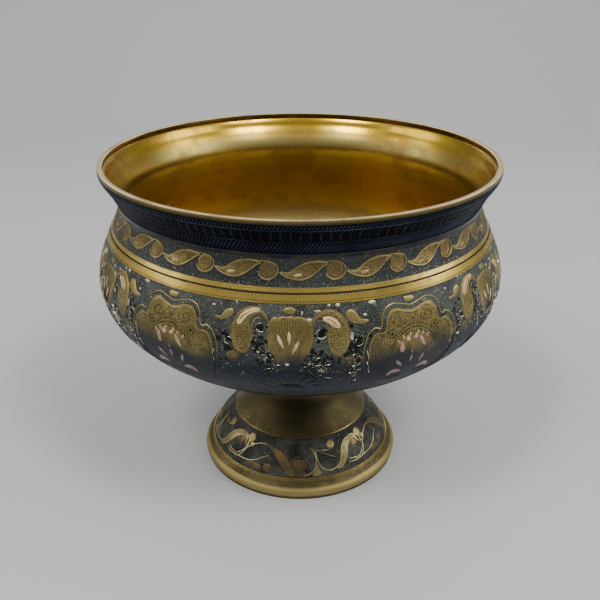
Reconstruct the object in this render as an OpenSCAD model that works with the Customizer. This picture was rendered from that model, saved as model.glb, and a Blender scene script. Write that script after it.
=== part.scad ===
// Footed bowl in engraved brass. The cast bowl and the cast foot are two
// pieces held by one hidden stud. Black lac lies in shallow bands cut into
// both, and small coloured lac inlays lie in the bands.
// Every band, recess and wall is worked out from the two outer curves.

/* [Bowl] */
// Outer diameter of the lip
rim_d = 230; // [220:1:240]
// Height of the lip above the table
overall_h = 201; // [196:1:206]
// Smallest outer diameter of the neck
neck_d = 211.6; // [208:0.2:215]
// Largest outer diameter of the belly
belly_d = 242; // [238:0.2:246]
// Height of the widest part of the belly
belly_z = 133.5; // [131:0.5:136]
// Thickness of the bowl wall
wall = 2.6; // [2:0.1:3.5]
// Width of the flat top of the lip
lip_w = 3; // [2.5:0.1:4]
// Depth of the step just inside the lip
lip_step = 3.2; // [2:0.1:4]

/* [Foot] */
// Outer diameter of the base edge
base_d = 129; // [124:1:134]
// Height of the face where the foot meets the bowl
joint_z = 66; // [65:0.5:67]
// Outer diameter of the narrow stem
stem_d = 41; // [38:1:44]
// Thickness of the foot wall
foot_wall = 3; // [2.5:0.1:3.6]

/* [Ornament bands] */
// Depth of the lac in its bands
lac_depth = 0.8; // [0.5:0.1:1]
// Top and bottom heights of the feathered band on the neck
neck_band = [199, 181.2];
// Top and bottom heights of the leaf band on the shoulder
shoulder_band = [179.3, 166.6];
// Heights of the black line inside the plain ring
ring_line = [164.2, 163.5];
// Top and bottom heights of the belly field
belly_band = [159.4, 99];
// Top and bottom heights of the field under the belly
underside_band = [97.5, 75];
// Top and bottom heights of the vine band on the foot
foot_band = [30.5, 12];
// Number of leaves around the shoulder
leaf_count = 21; // [18:1:22]
// Number of fan and medallion pairs around the belly
motif_count = 6; // [5:1:7]

/* [Fixing] */
// Diameter of the stud
stud_d = 8; // [6:1:10]
// Diameter of the clearance hole in the foot
clearance_d = 9; // [8:0.5:11]
// Diameter of the spigot under the bowl
spigot_d = 28; // [26:1:30]
// Length of the spigot under the bowl
spigot_h = 10; // [8:1:12]

/* [Hidden] */
$fn = 96;

rim_r = rim_d / 2;
neck_r = neck_d / 2;
belly_r = belly_d / 2;
base_r = base_d / 2;
stem_r = stem_d / 2;
edge = 0.6;                   // rounding of the lip's outer corners
ledge_w = 0.8;                // narrow ledge at the foot of the lip step
throat_z = overall_h - 9;     // from here down the wall has its own thickness
floor_z = joint_z + 4.6;      // inside floor of the bowl
socket_gap = 0.1;             // play between spigot and socket
socket_floor = joint_z - spigot_h - 0.5;
web_h = 5.5;                  // thickness of the web that the nut pulls on
web_z = socket_floor - web_h;
washer_h = 1.6;
washer_d = 22;
nut_h = 6.5;
nut_across = 13;
tip_depth = 1;                // the stud stops this far into the bowl floor
stud_top = joint_z + tip_depth;
stud_bottom = web_z - washer_h - nut_h - 2.5;
inlay_reach = 12;             // length of the cutter that shapes an inlay
brass = "#8c7233";
dull_brass = "#6b5a30";
black_lac = "#1d2730";
rose_lac = "#c98f78";
steel = "#8a8d90";

// The turning curves are smooth lines through a few [radius, height] points,
// from the top down.
bowl_points = [
    [rim_r, overall_h - edge],
    [rim_r - 0.3, overall_h - 4.4],
    [rim_r - 5.8, overall_h - 13.4],
    [neck_r, overall_h - 22.7],
    [neck_r + 3, overall_h - 32.1],
    [neck_r + 7.4, overall_h - 41],
    [belly_r - 2, belly_z + 12.6],
    [belly_r, belly_z],
    [belly_r - 2.6, belly_z - 11.8],
    [belly_r - 9, belly_z - 22.4],
    [belly_r - 21.8, belly_z - 34.3],
    [belly_r - 36, belly_z - 43.3],
    [belly_r - 53, belly_z - 52.3],
    [belly_r - 73, belly_z - 60.5],
    [stem_r + 9.5, joint_z + 2],
    [stem_r + 2, joint_z + 0.8]
];
foot_points = [
    [stem_r + 1, joint_z],
    [stem_r, joint_z - 8],
    [stem_r + 2, joint_z - 17.5],
    [stem_r + 10.6, joint_z - 24.7],
    [stem_r + 22.8, joint_z - 35.1],
    [base_r - 11.7, 21.5],
    [base_r - 5.2, 11.1],
    [base_r - 2.2, 7.2],
    [base_r - 0.2, 4.6],
    [base_r, 2.2],
    [base_r - 0.4, 0]
];

// A point of the smooth curve between points i and i + 1, at t from 0 to 1
function curve_point(p, i, t) =
    let (
        n = len(p) - 1,
        a = p[max(i - 1, 0)],
        b = p[i],
        c = p[i + 1],
        d = p[min(i + 2, n)]
    )
    0.5 * (2 * b + (c - a) * t + (2 * a - 5 * b + 4 * c - d) * t * t
        + (3 * b - a - 3 * c + d) * t * t * t);

// All points of the smooth curve, with a number of steps for each stretch
function curve(p, steps) = concat(
    [for (i = [0 : len(p) - 2], k = [0 : steps - 1]) curve_point(p, i, k / steps)],
    [p[len(p) - 1]]
);

bowl_curve = curve(bowl_points, 3);
foot_curve = curve(foot_points, 3);

// A curve as a table from height to radius
function height_table(c) = [for (p = c) [p.y, p.x]];
bowl_table = height_table(bowl_curve);
foot_table = height_table(foot_curve);

// The outer face at a height, and the same point moved in along its normal
function face(table, z) = [lookup(z, table), z];
function inward(table, z) =
    let (
        reach = 0.7,
        t = face(table, z + reach) - face(table, z - reach)
    )
    [-t.y, t.x] / norm(t);
function inset(table, z, d) = face(table, z) + d * inward(table, z);

// The heights at which a curve has points, strictly between two heights
function heights(c, top, bottom) =
    [for (p = c) if (p.y < top - 0.3 && p.y > bottom + 0.3) p.y];

// The outer and inner edge of a band [top, bottom], each from the top down
function band_face(c, table, band) = concat(
    [face(table, band[0])],
    [for (z = heights(c, band[0], band[1])) face(table, z)],
    [face(table, band[1])]
);
function band_bed(c, table, band) = concat(
    [inset(table, band[0], lac_depth)],
    [for (z = heights(c, band[0], band[1])) inset(table, z, lac_depth)],
    [inset(table, band[1], lac_depth)]
);

// The outer edge of a turned body with bands cut into it, from top to bottom
function between(c, table, top, bottom) =
    [for (z = heights(c, top, bottom)) face(table, z)];
function cut_band(c, table, band) = concat(
    [face(table, band[0])],
    band_bed(c, table, band),
    [face(table, band[1])]
);

function backwards(list) = [for (i = [len(list) - 1 : -1 : 0]) list[i]];

// A ring of lac that fills one band
module band_ring(c, table, band) {
    rotate_extrude()
        polygon(concat(band_face(c, table, band), backwards(band_bed(c, table, band))));
}

bowl_bands = [neck_band, shoulder_band, ring_line, belly_band, underside_band];
bowl_end = bowl_points[len(bowl_points) - 1].y;

module bowl() {
    lip = [
        [rim_r - lip_w, overall_h],
        [rim_r - edge, overall_h],
        [rim_r - 0.3 * edge, overall_h - 0.3 * edge],
        [rim_r, overall_h - edge]
    ];
    gaps = [
        for (i = [0 : len(bowl_bands) - 1])
            [bowl_bands[i][1], i + 1 < len(bowl_bands) ? bowl_bands[i + 1][0] : bowl_end]
    ];
    outer = concat(
        between(bowl_curve, bowl_table, overall_h - edge, neck_band[0]),
        [
            for (i = [0 : len(bowl_bands) - 1])
                each concat(
                    cut_band(bowl_curve, bowl_table, bowl_bands[i]),
                    between(bowl_curve, bowl_table, gaps[i][0], gaps[i][1])
                )
        ],
        [face(bowl_table, bowl_end)]
    );
    underside = [[stem_r + 1, joint_z], [0, joint_z]];
    inside = [
        for (z = backwards(heights(bowl_curve, throat_z, joint_z + 3)))
            inset(bowl_table, z, wall)
    ];
    throat = [
        [rim_r - lip_w - ledge_w - 1, overall_h - lip_step - 3],
        [rim_r - lip_w - ledge_w - 0.1, overall_h - lip_step - 0.4],
        [rim_r - lip_w - ledge_w + 0.2, overall_h - lip_step],
        [rim_r - lip_w, overall_h - lip_step]
    ];
    color(brass)
        difference() {
            union() {
                rotate_extrude()
                    polygon(concat(
                        lip, outer, underside,
                        [[0, floor_z], [stem_r + 4, floor_z]],
                        inside, throat
                    ));
                translate([0, 0, joint_z - spigot_h])
                    cylinder(d = spigot_d, h = spigot_h + 1);
            }
            translate([0, 0, joint_z - spigot_h - 1])
                cylinder(d = stud_d, h = spigot_h + 1 + tip_depth);
        }
}

module pedestal_foot() {
    outer = concat(
        [face(foot_table, joint_z)],
        between(foot_curve, foot_table, joint_z, foot_band[0]),
        cut_band(foot_curve, foot_table, foot_band),
        between(foot_curve, foot_table, foot_band[1], 0),
        [face(foot_table, 0)]
    );
    rest_w = 5;               // width of the flat ring that the foot stands on
    hollow = [
        for (z = backwards(heights(foot_curve, web_z - 1, 5)))
            inset(foot_table, z, foot_wall)
    ];
    hollow_top = stem_r - 4;
    color(dull_brass)
        difference() {
            rotate_extrude()
                polygon(concat(
                    outer,
                    [[base_r - rest_w, 0], [base_r - rest_w, 3]],
                    hollow,
                    [[hollow_top, web_z], [0, web_z], [0, joint_z]]
                ));
            translate([0, 0, socket_floor])
                cylinder(d = spigot_d + 2 * socket_gap, h = joint_z - socket_floor + 1);
            translate([0, 0, web_z - 1])
                cylinder(d = clearance_d, h = web_h + 2);
        }
}

module foot_stud() {
    color(steel)
        translate([0, 0, stud_bottom])
            cylinder(d = stud_d, h = stud_top - stud_bottom);
}

module foot_washer() {
    color(steel)
        translate([0, 0, web_z - washer_h])
            difference() {
                cylinder(d = washer_d, h = washer_h);
                translate([0, 0, -1])
                    cylinder(d = stud_d + 0.6, h = washer_h + 2);
            }
}

module foot_nut() {
    color(steel)
        translate([0, 0, web_z - washer_h - nut_h])
            difference() {
                cylinder(d = nut_across / cos(30), h = nut_h, $fn = 6);
                translate([0, 0, -1])
                    cylinder(d = stud_d, h = nut_h + 2);
            }
}

// Cutters for the inlays, standing out along +X before they are turned round
// the bowl. A petal is where two circles overlap, and a core is a short bean.
module petal(length, width) {
    bow = (length * length / 4 + width * width / 4) / width;
    rotate([90, 0, 90])
        linear_extrude(inlay_reach)
            intersection() {
                translate([bow - width / 2, 0])
                    circle(r = bow);
                translate([width / 2 - bow, 0])
                    circle(r = bow);
            }
}

// Places children on the bowl at an angle round it and a height, turned by
// spin and leaning with the wall
module on_bowl(turn, z, spin) {
    n = inward(bowl_table, z);
    rotate([0, 0, turn])
        translate([lookup(z, bowl_table), 0, z])
            rotate([0, atan2(n.y, -n.x), 0])
                rotate([spin, 0, 0])
                    translate([-inlay_reach / 2, 0, 0])
                        children();
}

// Turn of the first fan, so that one fan faces the front
fan_turn = -92;
motif_step = 360 / motif_count;
leaf_step = 360 / leaf_count;

module leaf_cores() {
    for (i = [0 : leaf_count - 1])
        on_bowl(fan_turn + (i + 0.5) * leaf_step, 171.5, 60)
            petal(6, 1.8);
}

// Two curled drops stand beside each fan
module paisley_cores() {
    for (i = [0 : motif_count - 1], side = [-1, 1])
        on_bowl(fan_turn + i * motif_step + side * 9.5, 153.5, side * -48)
            petal(7.5, 2.4);
}

// Three slim petals in each fan
module fan_petals() {
    for (i = [0 : motif_count - 1], k = [-1 : 1])
        on_bowl(fan_turn + i * motif_step + k * 1.9, 144, k * 22)
            petal(6.4, 1.4);
}

// Under each medallion's flower a row of petals hangs in two tiers
module medallion_petals() {
    for (i = [0 : motif_count - 1], k = [-1 : 1]) {
        turn = fan_turn + (i + 0.5) * motif_step;
        on_bowl(turn + k * 4.2, 125 - abs(k), k * 30)
            petal(7, 1.7);
        on_bowl(turn + k * 2.6, 134.5 - abs(k) * 1.5, k * 55)
            petal(5.5, 1.5);
    }
}

module neck_lac_fill() {
    color(black_lac)
        band_ring(bowl_curve, bowl_table, neck_band);
}

module shoulder_lac_fill() {
    color(black_lac)
        difference() {
            band_ring(bowl_curve, bowl_table, shoulder_band);
            leaf_cores();
        }
}

module leaf_core_inlays() {
    color(rose_lac)
        intersection() {
            band_ring(bowl_curve, bowl_table, shoulder_band);
            leaf_cores();
        }
}

module ring_line_fill() {
    color(black_lac)
        band_ring(bowl_curve, bowl_table, ring_line);
}

module belly_lac_fill() {
    color(black_lac)
        difference() {
            band_ring(bowl_curve, bowl_table, belly_band);
            paisley_cores();
            fan_petals();
            medallion_petals();
        }
}

module paisley_core_inlays() {
    color(rose_lac)
        intersection() {
            band_ring(bowl_curve, bowl_table, belly_band);
            paisley_cores();
        }
}

module fan_petal_inlays() {
    color(rose_lac)
        intersection() {
            band_ring(bowl_curve, bowl_table, belly_band);
            fan_petals();
        }
}

module medallion_petal_inlays() {
    color(rose_lac)
        intersection() {
            band_ring(bowl_curve, bowl_table, belly_band);
            medallion_petals();
        }
}

module underside_lac_fill() {
    color(black_lac)
        band_ring(bowl_curve, bowl_table, underside_band);
}

module foot_lac_fill() {
    color(black_lac)
        band_ring(foot_curve, foot_table, foot_band);
}

bowl();
pedestal_foot();
foot_stud();
foot_washer();
foot_nut();
neck_lac_fill();
shoulder_lac_fill();
ring_line_fill();
belly_lac_fill();
underside_lac_fill();
foot_lac_fill();
leaf_core_inlays();
paisley_core_inlays();
fan_petal_inlays();
medallion_petal_inlays();
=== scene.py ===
# %% [markdown]
# # An engraved brass bowl on a foot
#
# This lesson dresses a finished engineering model. The model of the bowl is
# loaded as a frame that never moves, and every piece made here is laid on it.
# The bowl is one turned shape with a great deal of flat ornament, so most of
# the lesson is about drawing ornament on a flat sheet, in millimetres, and
# wrapping the sheet round a turned surface.

# %% Load the frame
import math

import bmesh
import bpy
import numpy as np
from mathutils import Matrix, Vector
from mathutils.geometry import delaunay_2d_cdt


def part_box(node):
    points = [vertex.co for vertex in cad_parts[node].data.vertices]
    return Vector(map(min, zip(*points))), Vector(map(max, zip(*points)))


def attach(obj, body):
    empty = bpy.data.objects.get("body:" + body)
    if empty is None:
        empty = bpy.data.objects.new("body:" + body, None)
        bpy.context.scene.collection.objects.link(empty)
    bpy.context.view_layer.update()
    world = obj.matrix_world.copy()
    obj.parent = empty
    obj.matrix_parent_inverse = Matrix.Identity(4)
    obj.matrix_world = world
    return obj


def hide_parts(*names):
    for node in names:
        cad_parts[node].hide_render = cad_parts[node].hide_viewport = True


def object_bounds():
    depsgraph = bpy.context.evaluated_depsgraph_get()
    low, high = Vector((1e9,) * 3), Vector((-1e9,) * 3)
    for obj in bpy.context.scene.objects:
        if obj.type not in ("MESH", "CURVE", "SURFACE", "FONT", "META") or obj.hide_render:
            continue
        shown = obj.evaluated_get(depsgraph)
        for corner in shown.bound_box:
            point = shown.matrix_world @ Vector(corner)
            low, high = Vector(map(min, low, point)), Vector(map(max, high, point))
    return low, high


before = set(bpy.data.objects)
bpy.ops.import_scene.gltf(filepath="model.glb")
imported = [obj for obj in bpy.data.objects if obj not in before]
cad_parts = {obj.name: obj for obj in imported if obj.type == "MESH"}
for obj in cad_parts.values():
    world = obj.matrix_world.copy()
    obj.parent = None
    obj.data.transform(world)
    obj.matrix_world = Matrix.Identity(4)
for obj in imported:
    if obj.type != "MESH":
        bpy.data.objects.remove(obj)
cad_low, cad_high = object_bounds()
MM = 0.001
print("model box in mm:", [round(v / MM, 1) for v in (*cad_low, *cad_high)])

# %% [markdown]
# ## Driving sizes
#
# The widest belly, the height and the foot are read from the frame. The few
# other radii of the turning are fixed shares of those, as a turner would set
# them out on a template. All the design work is in millimetres.

# %% Sizes from the frame
def top_and_bottom(node):
    """The heights between which a part of the model lies, in mm."""
    low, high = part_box(node)
    return high.z / MM, low.z / MM


BELLY_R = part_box("belly_lac_fill")[1].x / MM
HEIGHT = cad_high.z / MM
FOOT_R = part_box("pedestal_foot")[1].x / MM
JOINT_Z = top_and_bottom("pedestal_foot")[0]
SPIGOT_Z = top_and_bottom("bowl")[1]
LIP_R = 0.9504 * BELLY_R
NECK_R = 0.8744 * BELLY_R
STEM_R = 0.3177 * FOOT_R
BELLY_Z = 0.6642 * HEIGHT
LIP_W = 3.0
LIP_STEP = 3.2
WALL = 2.6
LAC_DEPTH = 0.8
print("lip radius", round(LIP_R, 1), "neck", round(NECK_R, 1), "belly", round(BELLY_R, 1))

# %% [markdown]
# ## The camera
#
# The camera stands in front of the bowl and looks down at it from a little
# above the lip. Its distance and height are shares of the lip's radius, so it
# would follow the bowl if the bowl grew. It is made first because it is the
# yardstick for how fine the ornament has to be.

# %% Camera
CAMERA_BACK = 3.685 * LIP_R
CAMERA_UP = 2.716 * LIP_R
CAMERA_PITCH = math.radians(25.9)
FOCAL_MM = 44.34
scene = bpy.context.scene
camera_lens = bpy.data.cameras.new("camera")
camera_lens.sensor_width = 36.0
camera_lens.lens = FOCAL_MM
camera_lens.clip_start = 0.01
camera = bpy.data.objects.new("camera", camera_lens)
camera.location = (0, -CAMERA_BACK * MM, CAMERA_UP * MM)
camera.rotation_euler = (math.pi / 2 - CAMERA_PITCH, 0, 0)
scene.collection.objects.link(camera)
scene.camera = camera
print("camera at", [round(v, 3) for v in camera.location])

# %% [markdown]
# ## The turning curves
#
# A turned surface is one curve spun round an axis. The curve is a smooth line
# through a few points, each a radius and a height. Wrapping ornament on it
# needs three things at any distance along the curve: the radius, the height
# and the direction that points out of the metal.

# %% A smooth line through a few points
def run_length(line):
    """The distance along a line at each of its points."""
    return np.concatenate([[0], np.cumsum(np.hypot(*np.diff(line, axis=0).T))])


def resample(line, step, closed=False):
    """The same line with its points spread evenly, about step apart."""
    along = run_length(line)
    spread = np.linspace(0, along[-1], max(int(round(along[-1] / step)), 2) + 1)
    if closed:
        spread = spread[:-1]
    return np.stack([np.interp(spread, along, column) for column in line.T], 1)


def curve(points, step=0.45, closed=False):
    """Points along a smooth line through the given ones, about step apart."""
    p = np.array(points, float)
    n = len(p)
    t = np.linspace(0, 1, 12, endpoint=False)[:, None]
    out = []
    for i in range(n if closed else n - 1):
        a, b, c, d = (p[k % n] if closed else p[min(max(k, 0), n - 1)] for k in range(i - 1, i + 3))
        out.append(0.5 * (2 * b + (c - a) * t + (2 * a - 5 * b + 4 * c - d) * t**2
                          + (3 * b - a - 3 * c + d) * t**3))
    out.append(p[:1] if closed else p[-1:])
    return resample(np.concatenate(out), step, closed)


def loop(points, step=0.6):
    """A smooth closed outline through the given points."""
    return curve(points, step, closed=True)


def spun(r, z, turn):
    """Points at radius r and height z, turned round the axis from the front."""
    r, z, turn = np.broadcast_arrays(r, z, turn)
    return np.stack([r * np.sin(turn), -r * np.cos(turn), z], -1)


def full_turn(steps):
    """Evenly spaced angles round a circle."""
    return np.linspace(0, 2 * math.pi, steps, endpoint=False)


square_loop = loop([(1, 1), (-1, 1), (-1, -1), (1, -1)], 0.5)
print("a square of four points, rounded:", len(square_loop), "points")

# %% [markdown]
# The bowl's curve runs from the lip down to the stem, and the foot's from the
# stem to the table. Distances on the foot are counted from the top of its
# vine, where its ornament starts.

# %% The two curves
BOWL_POINTS = [
    (LIP_R, HEIGHT - 0.6), (LIP_R - 0.3, HEIGHT - 4.4), (LIP_R - 5.8, HEIGHT - 13.4),
    (NECK_R, HEIGHT - 22.7), (NECK_R + 3, HEIGHT - 32.1), (NECK_R + 7.4, HEIGHT - 41),
    (BELLY_R - 2, BELLY_Z + 12.6), (BELLY_R, BELLY_Z), (BELLY_R - 2.6, BELLY_Z - 11.8),
    (BELLY_R - 9, BELLY_Z - 22.4), (BELLY_R - 21.8, BELLY_Z - 34.3),
    (BELLY_R - 36, BELLY_Z - 43.3), (BELLY_R - 53, BELLY_Z - 52.3),
    (BELLY_R - 73, BELLY_Z - 60.5), (STEM_R + 9.5, JOINT_Z + 2), (STEM_R + 2, JOINT_Z + 0.8),
]
FOOT_POINTS = [
    (STEM_R + 1, JOINT_Z), (STEM_R, JOINT_Z - 8), (STEM_R + 2, JOINT_Z - 17.5),
    (STEM_R + 10.6, JOINT_Z - 24.7), (STEM_R + 22.8, JOINT_Z - 35.1), (FOOT_R - 11.7, 21.5),
    (FOOT_R - 5.2, 11.1), (FOOT_R - 2.2, 7.2), (FOOT_R - 0.2, 4.6), (FOOT_R, 2.2),
    (FOOT_R - 0.4, 0),
]


class Turning:
    """A turned surface: distance down its curve gives radius, height and normal."""

    def __init__(self, points, start):
        self.line = curve(points, 0.4)
        self.along = run_length(self.line) + start
        way = np.gradient(self.line, axis=0)
        way /= np.hypot(*way.T)[:, None]
        self.out = np.stack([-way[:, 1], way[:, 0]], 1)

    def at(self, s, lift=0.0):
        """Radius and height at distance s, moved out of the metal by lift."""
        r, z = (np.interp(s, self.along, column) for column in self.line.T)
        nr, nz = (np.interp(s, self.along, column) for column in self.out.T)
        return r + nr * lift, z + nz * lift

    def down_to(self, z):
        """The distance down the curve at which it reaches a height."""
        return float(np.interp(-z, -self.line[:, 1], self.along))

    def band(self, node):
        """The distances between which a part of the model lies."""
        return tuple(self.down_to(z) for z in top_and_bottom(node))

    def wrap(self, points, turn, ref):
        """Wraps (x, s, lift) points round; x is in mm on a circle of radius ref."""
        x, s, lift = points.T
        return spun(*self.at(s, lift), turn + x / ref) * MM


bowl_face = Turning(BOWL_POINTS, start=0.6)
foot_face = Turning(FOOT_POINTS, start=0.0)
foot_face.along -= foot_face.down_to(top_and_bottom("foot_lac_fill")[0])
print("curve length, bowl", round(bowl_face.along[-1], 1), "foot", round(foot_face.along[-1], 1))

# %% [markdown]
# ## Meshes
#
# Three shapes make all the ornament. A ribbon is a raised thread with a round
# back that follows a line. A plate is a flat leaf of metal with a bevelled
# edge, cut to an outline. A lathe is a closed outline spun round the axis. All
# of them are closed solids, so each is a sound mesh of its own.

# %% Gathering meshes
class Sheet:
    """Gathers pieces, each an array of points and the faces between them."""

    def __init__(self):
        self.points = []
        self.faces = []
        self.count = 0

    def add(self, points, faces):
        self.points.append(np.asarray(points, float))
        self.faces += [[self.count + i for i in face] for face in faces]
        self.count += len(points)

    def everything(self):
        return np.concatenate(self.points), self.faces


def grid_faces(rows, columns, closed=True):
    """Quads of rows of points that run round; a closed grid joins its last row to its first."""
    return [(i * columns + j, i * columns + (j + 1) % columns,
             (i + 1) % rows * columns + (j + 1) % columns, (i + 1) % rows * columns + j)
            for i in range(rows if closed else rows - 1) for j in range(columns)]


def make_object(name, shape, material, slot, replaces=(), sharp=40):
    """A mesh object from points in metres and faces, riding on the root body."""
    points, faces = shape
    mesh = bpy.data.meshes.new(name)
    mesh.from_pydata(points.tolist(), [], faces)
    work = bmesh.new()
    work.from_mesh(mesh)
    bmesh.ops.remove_doubles(work, verts=work.verts, dist=2e-6)
    bmesh.ops.recalc_face_normals(work, faces=work.faces)
    work.to_mesh(mesh)
    work.free()
    mesh.polygons.foreach_set("use_smooth", [True] * len(mesh.polygons))
    mesh.set_sharp_from_angle(angle=math.radians(sharp))
    mesh.materials.append(material)
    piece = bpy.data.objects.new(name, mesh)
    scene.collection.objects.link(piece)
    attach(piece, "root")
    if replaces:
        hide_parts(*replaces)
    print(f"{name}: {len(mesh.vertices)} points, {len(mesh.polygons)} faces")
    return piece


def wrap_sheet(name, sheet, face, material, slot, repeats, ref, turn=0.0, **more):
    """Repeats a sheet of ornament round a turned surface, as one object."""
    points, faces = sheet.everything()
    whole = Sheet()
    for k in range(repeats):
        whole.add(face.wrap(points, turn + 2 * math.pi * k / repeats, ref), faces)
    return make_object(name, whole.everything(), material, slot, **more)


print("a grid of 3 rows of 8 has", len(grid_faces(3, 8, closed=False)), "faces")


# %% A ribbon along a line
def sideways(line, closed):
    """The unit direction to the left of a line at each of its points."""
    if closed:
        way = np.roll(line, -1, 0) - np.roll(line, 1, 0)
    else:
        way = np.gradient(line, axis=0)
    way = way / np.maximum(np.hypot(*way.T), 1e-9)[:, None]
    return np.stack([way[:, 1], -way[:, 0]], 1)


ROUND_BACK = [(-1, -1), (-0.72, 0.7), (0, 1), (0.72, 0.7), (1, -1)]
PLAIN_BACK = [(-1, -1), (0, 1), (1, -1)]


def ribbon(sheet, line, width, low, high, closed=False, taper=0.0, back=ROUND_BACK):
    """Adds a thread of metal or lac. taper is how far it thins towards its ends."""
    line = np.asarray(line, float)
    side = sideways(line, closed)
    n, m = len(line), len(back)
    half = np.full(n, width / 2)
    if taper and not closed:
        half = half * (1 - taper * (2 * np.linspace(0, 1, n) - 1) ** 2)
    rows = []
    for across, up in back:
        lift = high if up == 1 else low + (high - low) * (up + 1) / 2
        rows.append(np.column_stack([line + side * (half * across)[:, None], np.full(n, lift)]))
    faces = grid_faces(n, m, closed)
    if not closed:
        faces += [tuple(range(m - 1, -1, -1)), tuple((n - 1) * m + j for j in range(m))]
    sheet.add(np.stack(rows, 1).reshape(-1, 3), faces)


def score(sheet, line, width, high, low=-0.1, **more):
    """Adds a sharp-backed line: an engraved stroke seen as the lac that fills it."""
    ribbon(sheet, line, width, low, high, back=PLAIN_BACK, **more)


thread = Sheet()
ribbon(thread, [(0, 0), (0, 1), (0, 2)], 1.0, 0.0, 0.2)
print("a thread through three points has", len(thread.faces), "faces")

# %% A plate cut to an outline
def inside(points, outline):
    """Which points lie inside a closed outline."""
    x, y = points[:, 0][:, None], points[:, 1][:, None]
    ax, ay = outline.T
    bx, by = np.roll(outline, -1, 0).T
    crosses = (ay > y) != (by > y)
    reach = (bx - ax) * (y - ay) / np.where(by == ay, 1e-9, by - ay) + ax
    return (np.sum(crosses & (x < reach), 1) % 2) == 1


def turn_left(outline):
    """The outline in the direction that puts its inside on the side of its side vectors."""
    x, y = outline.T
    area = np.sum(x * np.roll(y, -1) - np.roll(x, -1) * y)
    return outline if area < 0 else outline[::-1]


def clear_of(spots, outline):
    """How far each point is from the nearest point of an outline."""
    if not len(spots):
        return np.zeros(0)
    return np.hypot(spots[:, None, 0] - outline[None, :, 0], spots[:, None, 1] - outline[None, :, 1]).min(1)


def seed_grid(outline, pitch):
    """A square grid of points over the box of an outline."""
    (x0, y0), (x1, y1) = outline.min(0), outline.max(0)
    gx, gy = np.meshgrid(np.arange(x0, x1, pitch), np.arange(y0, y1, pitch))
    return np.column_stack([gx.ravel(), gy.ravel()])


def plate(sheet, outline, high, low=-0.6, bevel=0.3, drop=0.12, fill=1.5, uneven=0.0):
    """Adds a leaf of metal with a bevelled edge that can bend with the surface."""
    outline = turn_left(np.asarray(outline, float))
    n = len(outline)
    inner = outline + sideways(outline, True) * bevel
    inner = inner[inside(inner, outline) & (clear_of(inner, outline) > 0.8 * bevel)]
    seeds = seed_grid(outline, fill)
    seeds = seeds[inside(seeds, outline) & (clear_of(seeds, outline) > bevel + 0.3 * fill)]
    flat = [Vector(p) for p in np.concatenate([outline, inner, seeds])]
    spots, _, triangles, first, _, _ = delaunay_2d_cdt(flat, [], [list(range(n))], 1, 1e-5)
    spots = np.array([tuple(p) for p in spots])
    on_edge = np.array([not f or min(f) < n for f in first])
    m = len(spots)
    lift = np.where(on_edge, high - drop, high)
    if uneven:
        lift = lift + np.random.default_rng(m).uniform(-uneven, 0, m)
    uses = {}
    for t in triangles:
        for a, b in zip(t, (*t[1:], t[0])):
            edge = (min(a, b), max(a, b))
            uses[edge] = uses.get(edge, 0) + 1
    faces = [tuple(t) for t in triangles] + [tuple(m + i for i in reversed(t)) for t in triangles]
    faces += [(a, b, m + b, m + a) for (a, b), count in uses.items() if count == 1]
    sheet.add(np.concatenate([np.column_stack([spots, lift]), np.column_stack([spots, np.full(m, low)])]),
              faces)


coin = Sheet()
plate(coin, loop([(0, 0), (4, 0), (4, 4), (0, 4)]), 0.5, low=0.0)
print("a small plate has", coin.count, "points and", len(coin.faces), "faces")


# %% A lathe
def lathe(outline, steps):
    """A closed outline of (radius, height) points in mm, spun round the axis."""
    r, z = np.asarray(outline, float).T
    points = spun(r[:, None], z[:, None], full_turn(steps)).reshape(-1, 3) * MM
    return points, grid_faces(len(r), steps)


print("a square ring of 8 steps has", len(lathe([(2, 0), (3, 0), (3, 1), (2, 1)], 8)[1]), "faces")

# %% [markdown]
# ## Materials
#
# Every finish on this bowl is brass or lac, and each wears in its own way.
# Four effects are shared, so each is a node group: the fine rings that a lathe
# leaves, the blotches of old toning, the stipple of punched ground, and a
# change of colour with height. That last one mostly lays painted shade and a
# painted dark blue reflection on the neck, the lower belly, the underside and the stem.

# %% Node helpers
def feed(tree, socket, value):
    """Gives a socket a number or a colour, or links another socket to it."""
    if isinstance(value, bpy.types.NodeSocket):
        tree.links.new(value, socket)
    else:
        socket.default_value = (*value, 1.0) if isinstance(value, tuple) else value


def put(tree, kind, inputs, **settings):
    """Adds a node, sets its properties and feeds its inputs, by name or number."""
    node = tree.nodes.new(kind)
    for key, value in settings.items():
        setattr(node, key, value)
    for key, value in inputs.items():
        feed(tree, node.inputs[key], value)
    return node


def maths(tree, operation, a, b=None, clamp=False):
    """A Math node whose inputs are numbers or sockets."""
    inputs = {0: a} if b is None else {0: a, 1: b}
    return put(tree, "ShaderNodeMath", inputs, operation=operation, use_clamp=clamp).outputs[0]


def spread(tree, value, low, high, to_low=0.0, to_high=1.0):
    """A Map Range node, which eases one range over another."""
    inputs = dict(enumerate((value, low, high, to_low, to_high)))
    return put(tree, "ShaderNodeMapRange", inputs, interpolation_type="SMOOTHSTEP").outputs[0]


def blend(tree, factor, a, b, share=1.0):
    """Mixes two colours, each a socket or a tuple, by a share of the factor."""
    if share != 1.0:
        factor = maths(tree, "MULTIPLY", factor, share)
    return put(tree, "ShaderNodeMix", {0: factor, 6: a, 7: b}, data_type="RGBA").outputs[2]


def noise(tree, inputs, **settings):
    return put(tree, "ShaderNodeTexNoise", inputs, **settings).outputs[0]


def place(tree):
    """The object's own coordinates, whole and split into x, y and z."""
    where = put(tree, "ShaderNodeTexCoord", {}).outputs["Object"]
    return where, put(tree, "ShaderNodeSeparateXYZ", {0: where}).outputs


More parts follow.
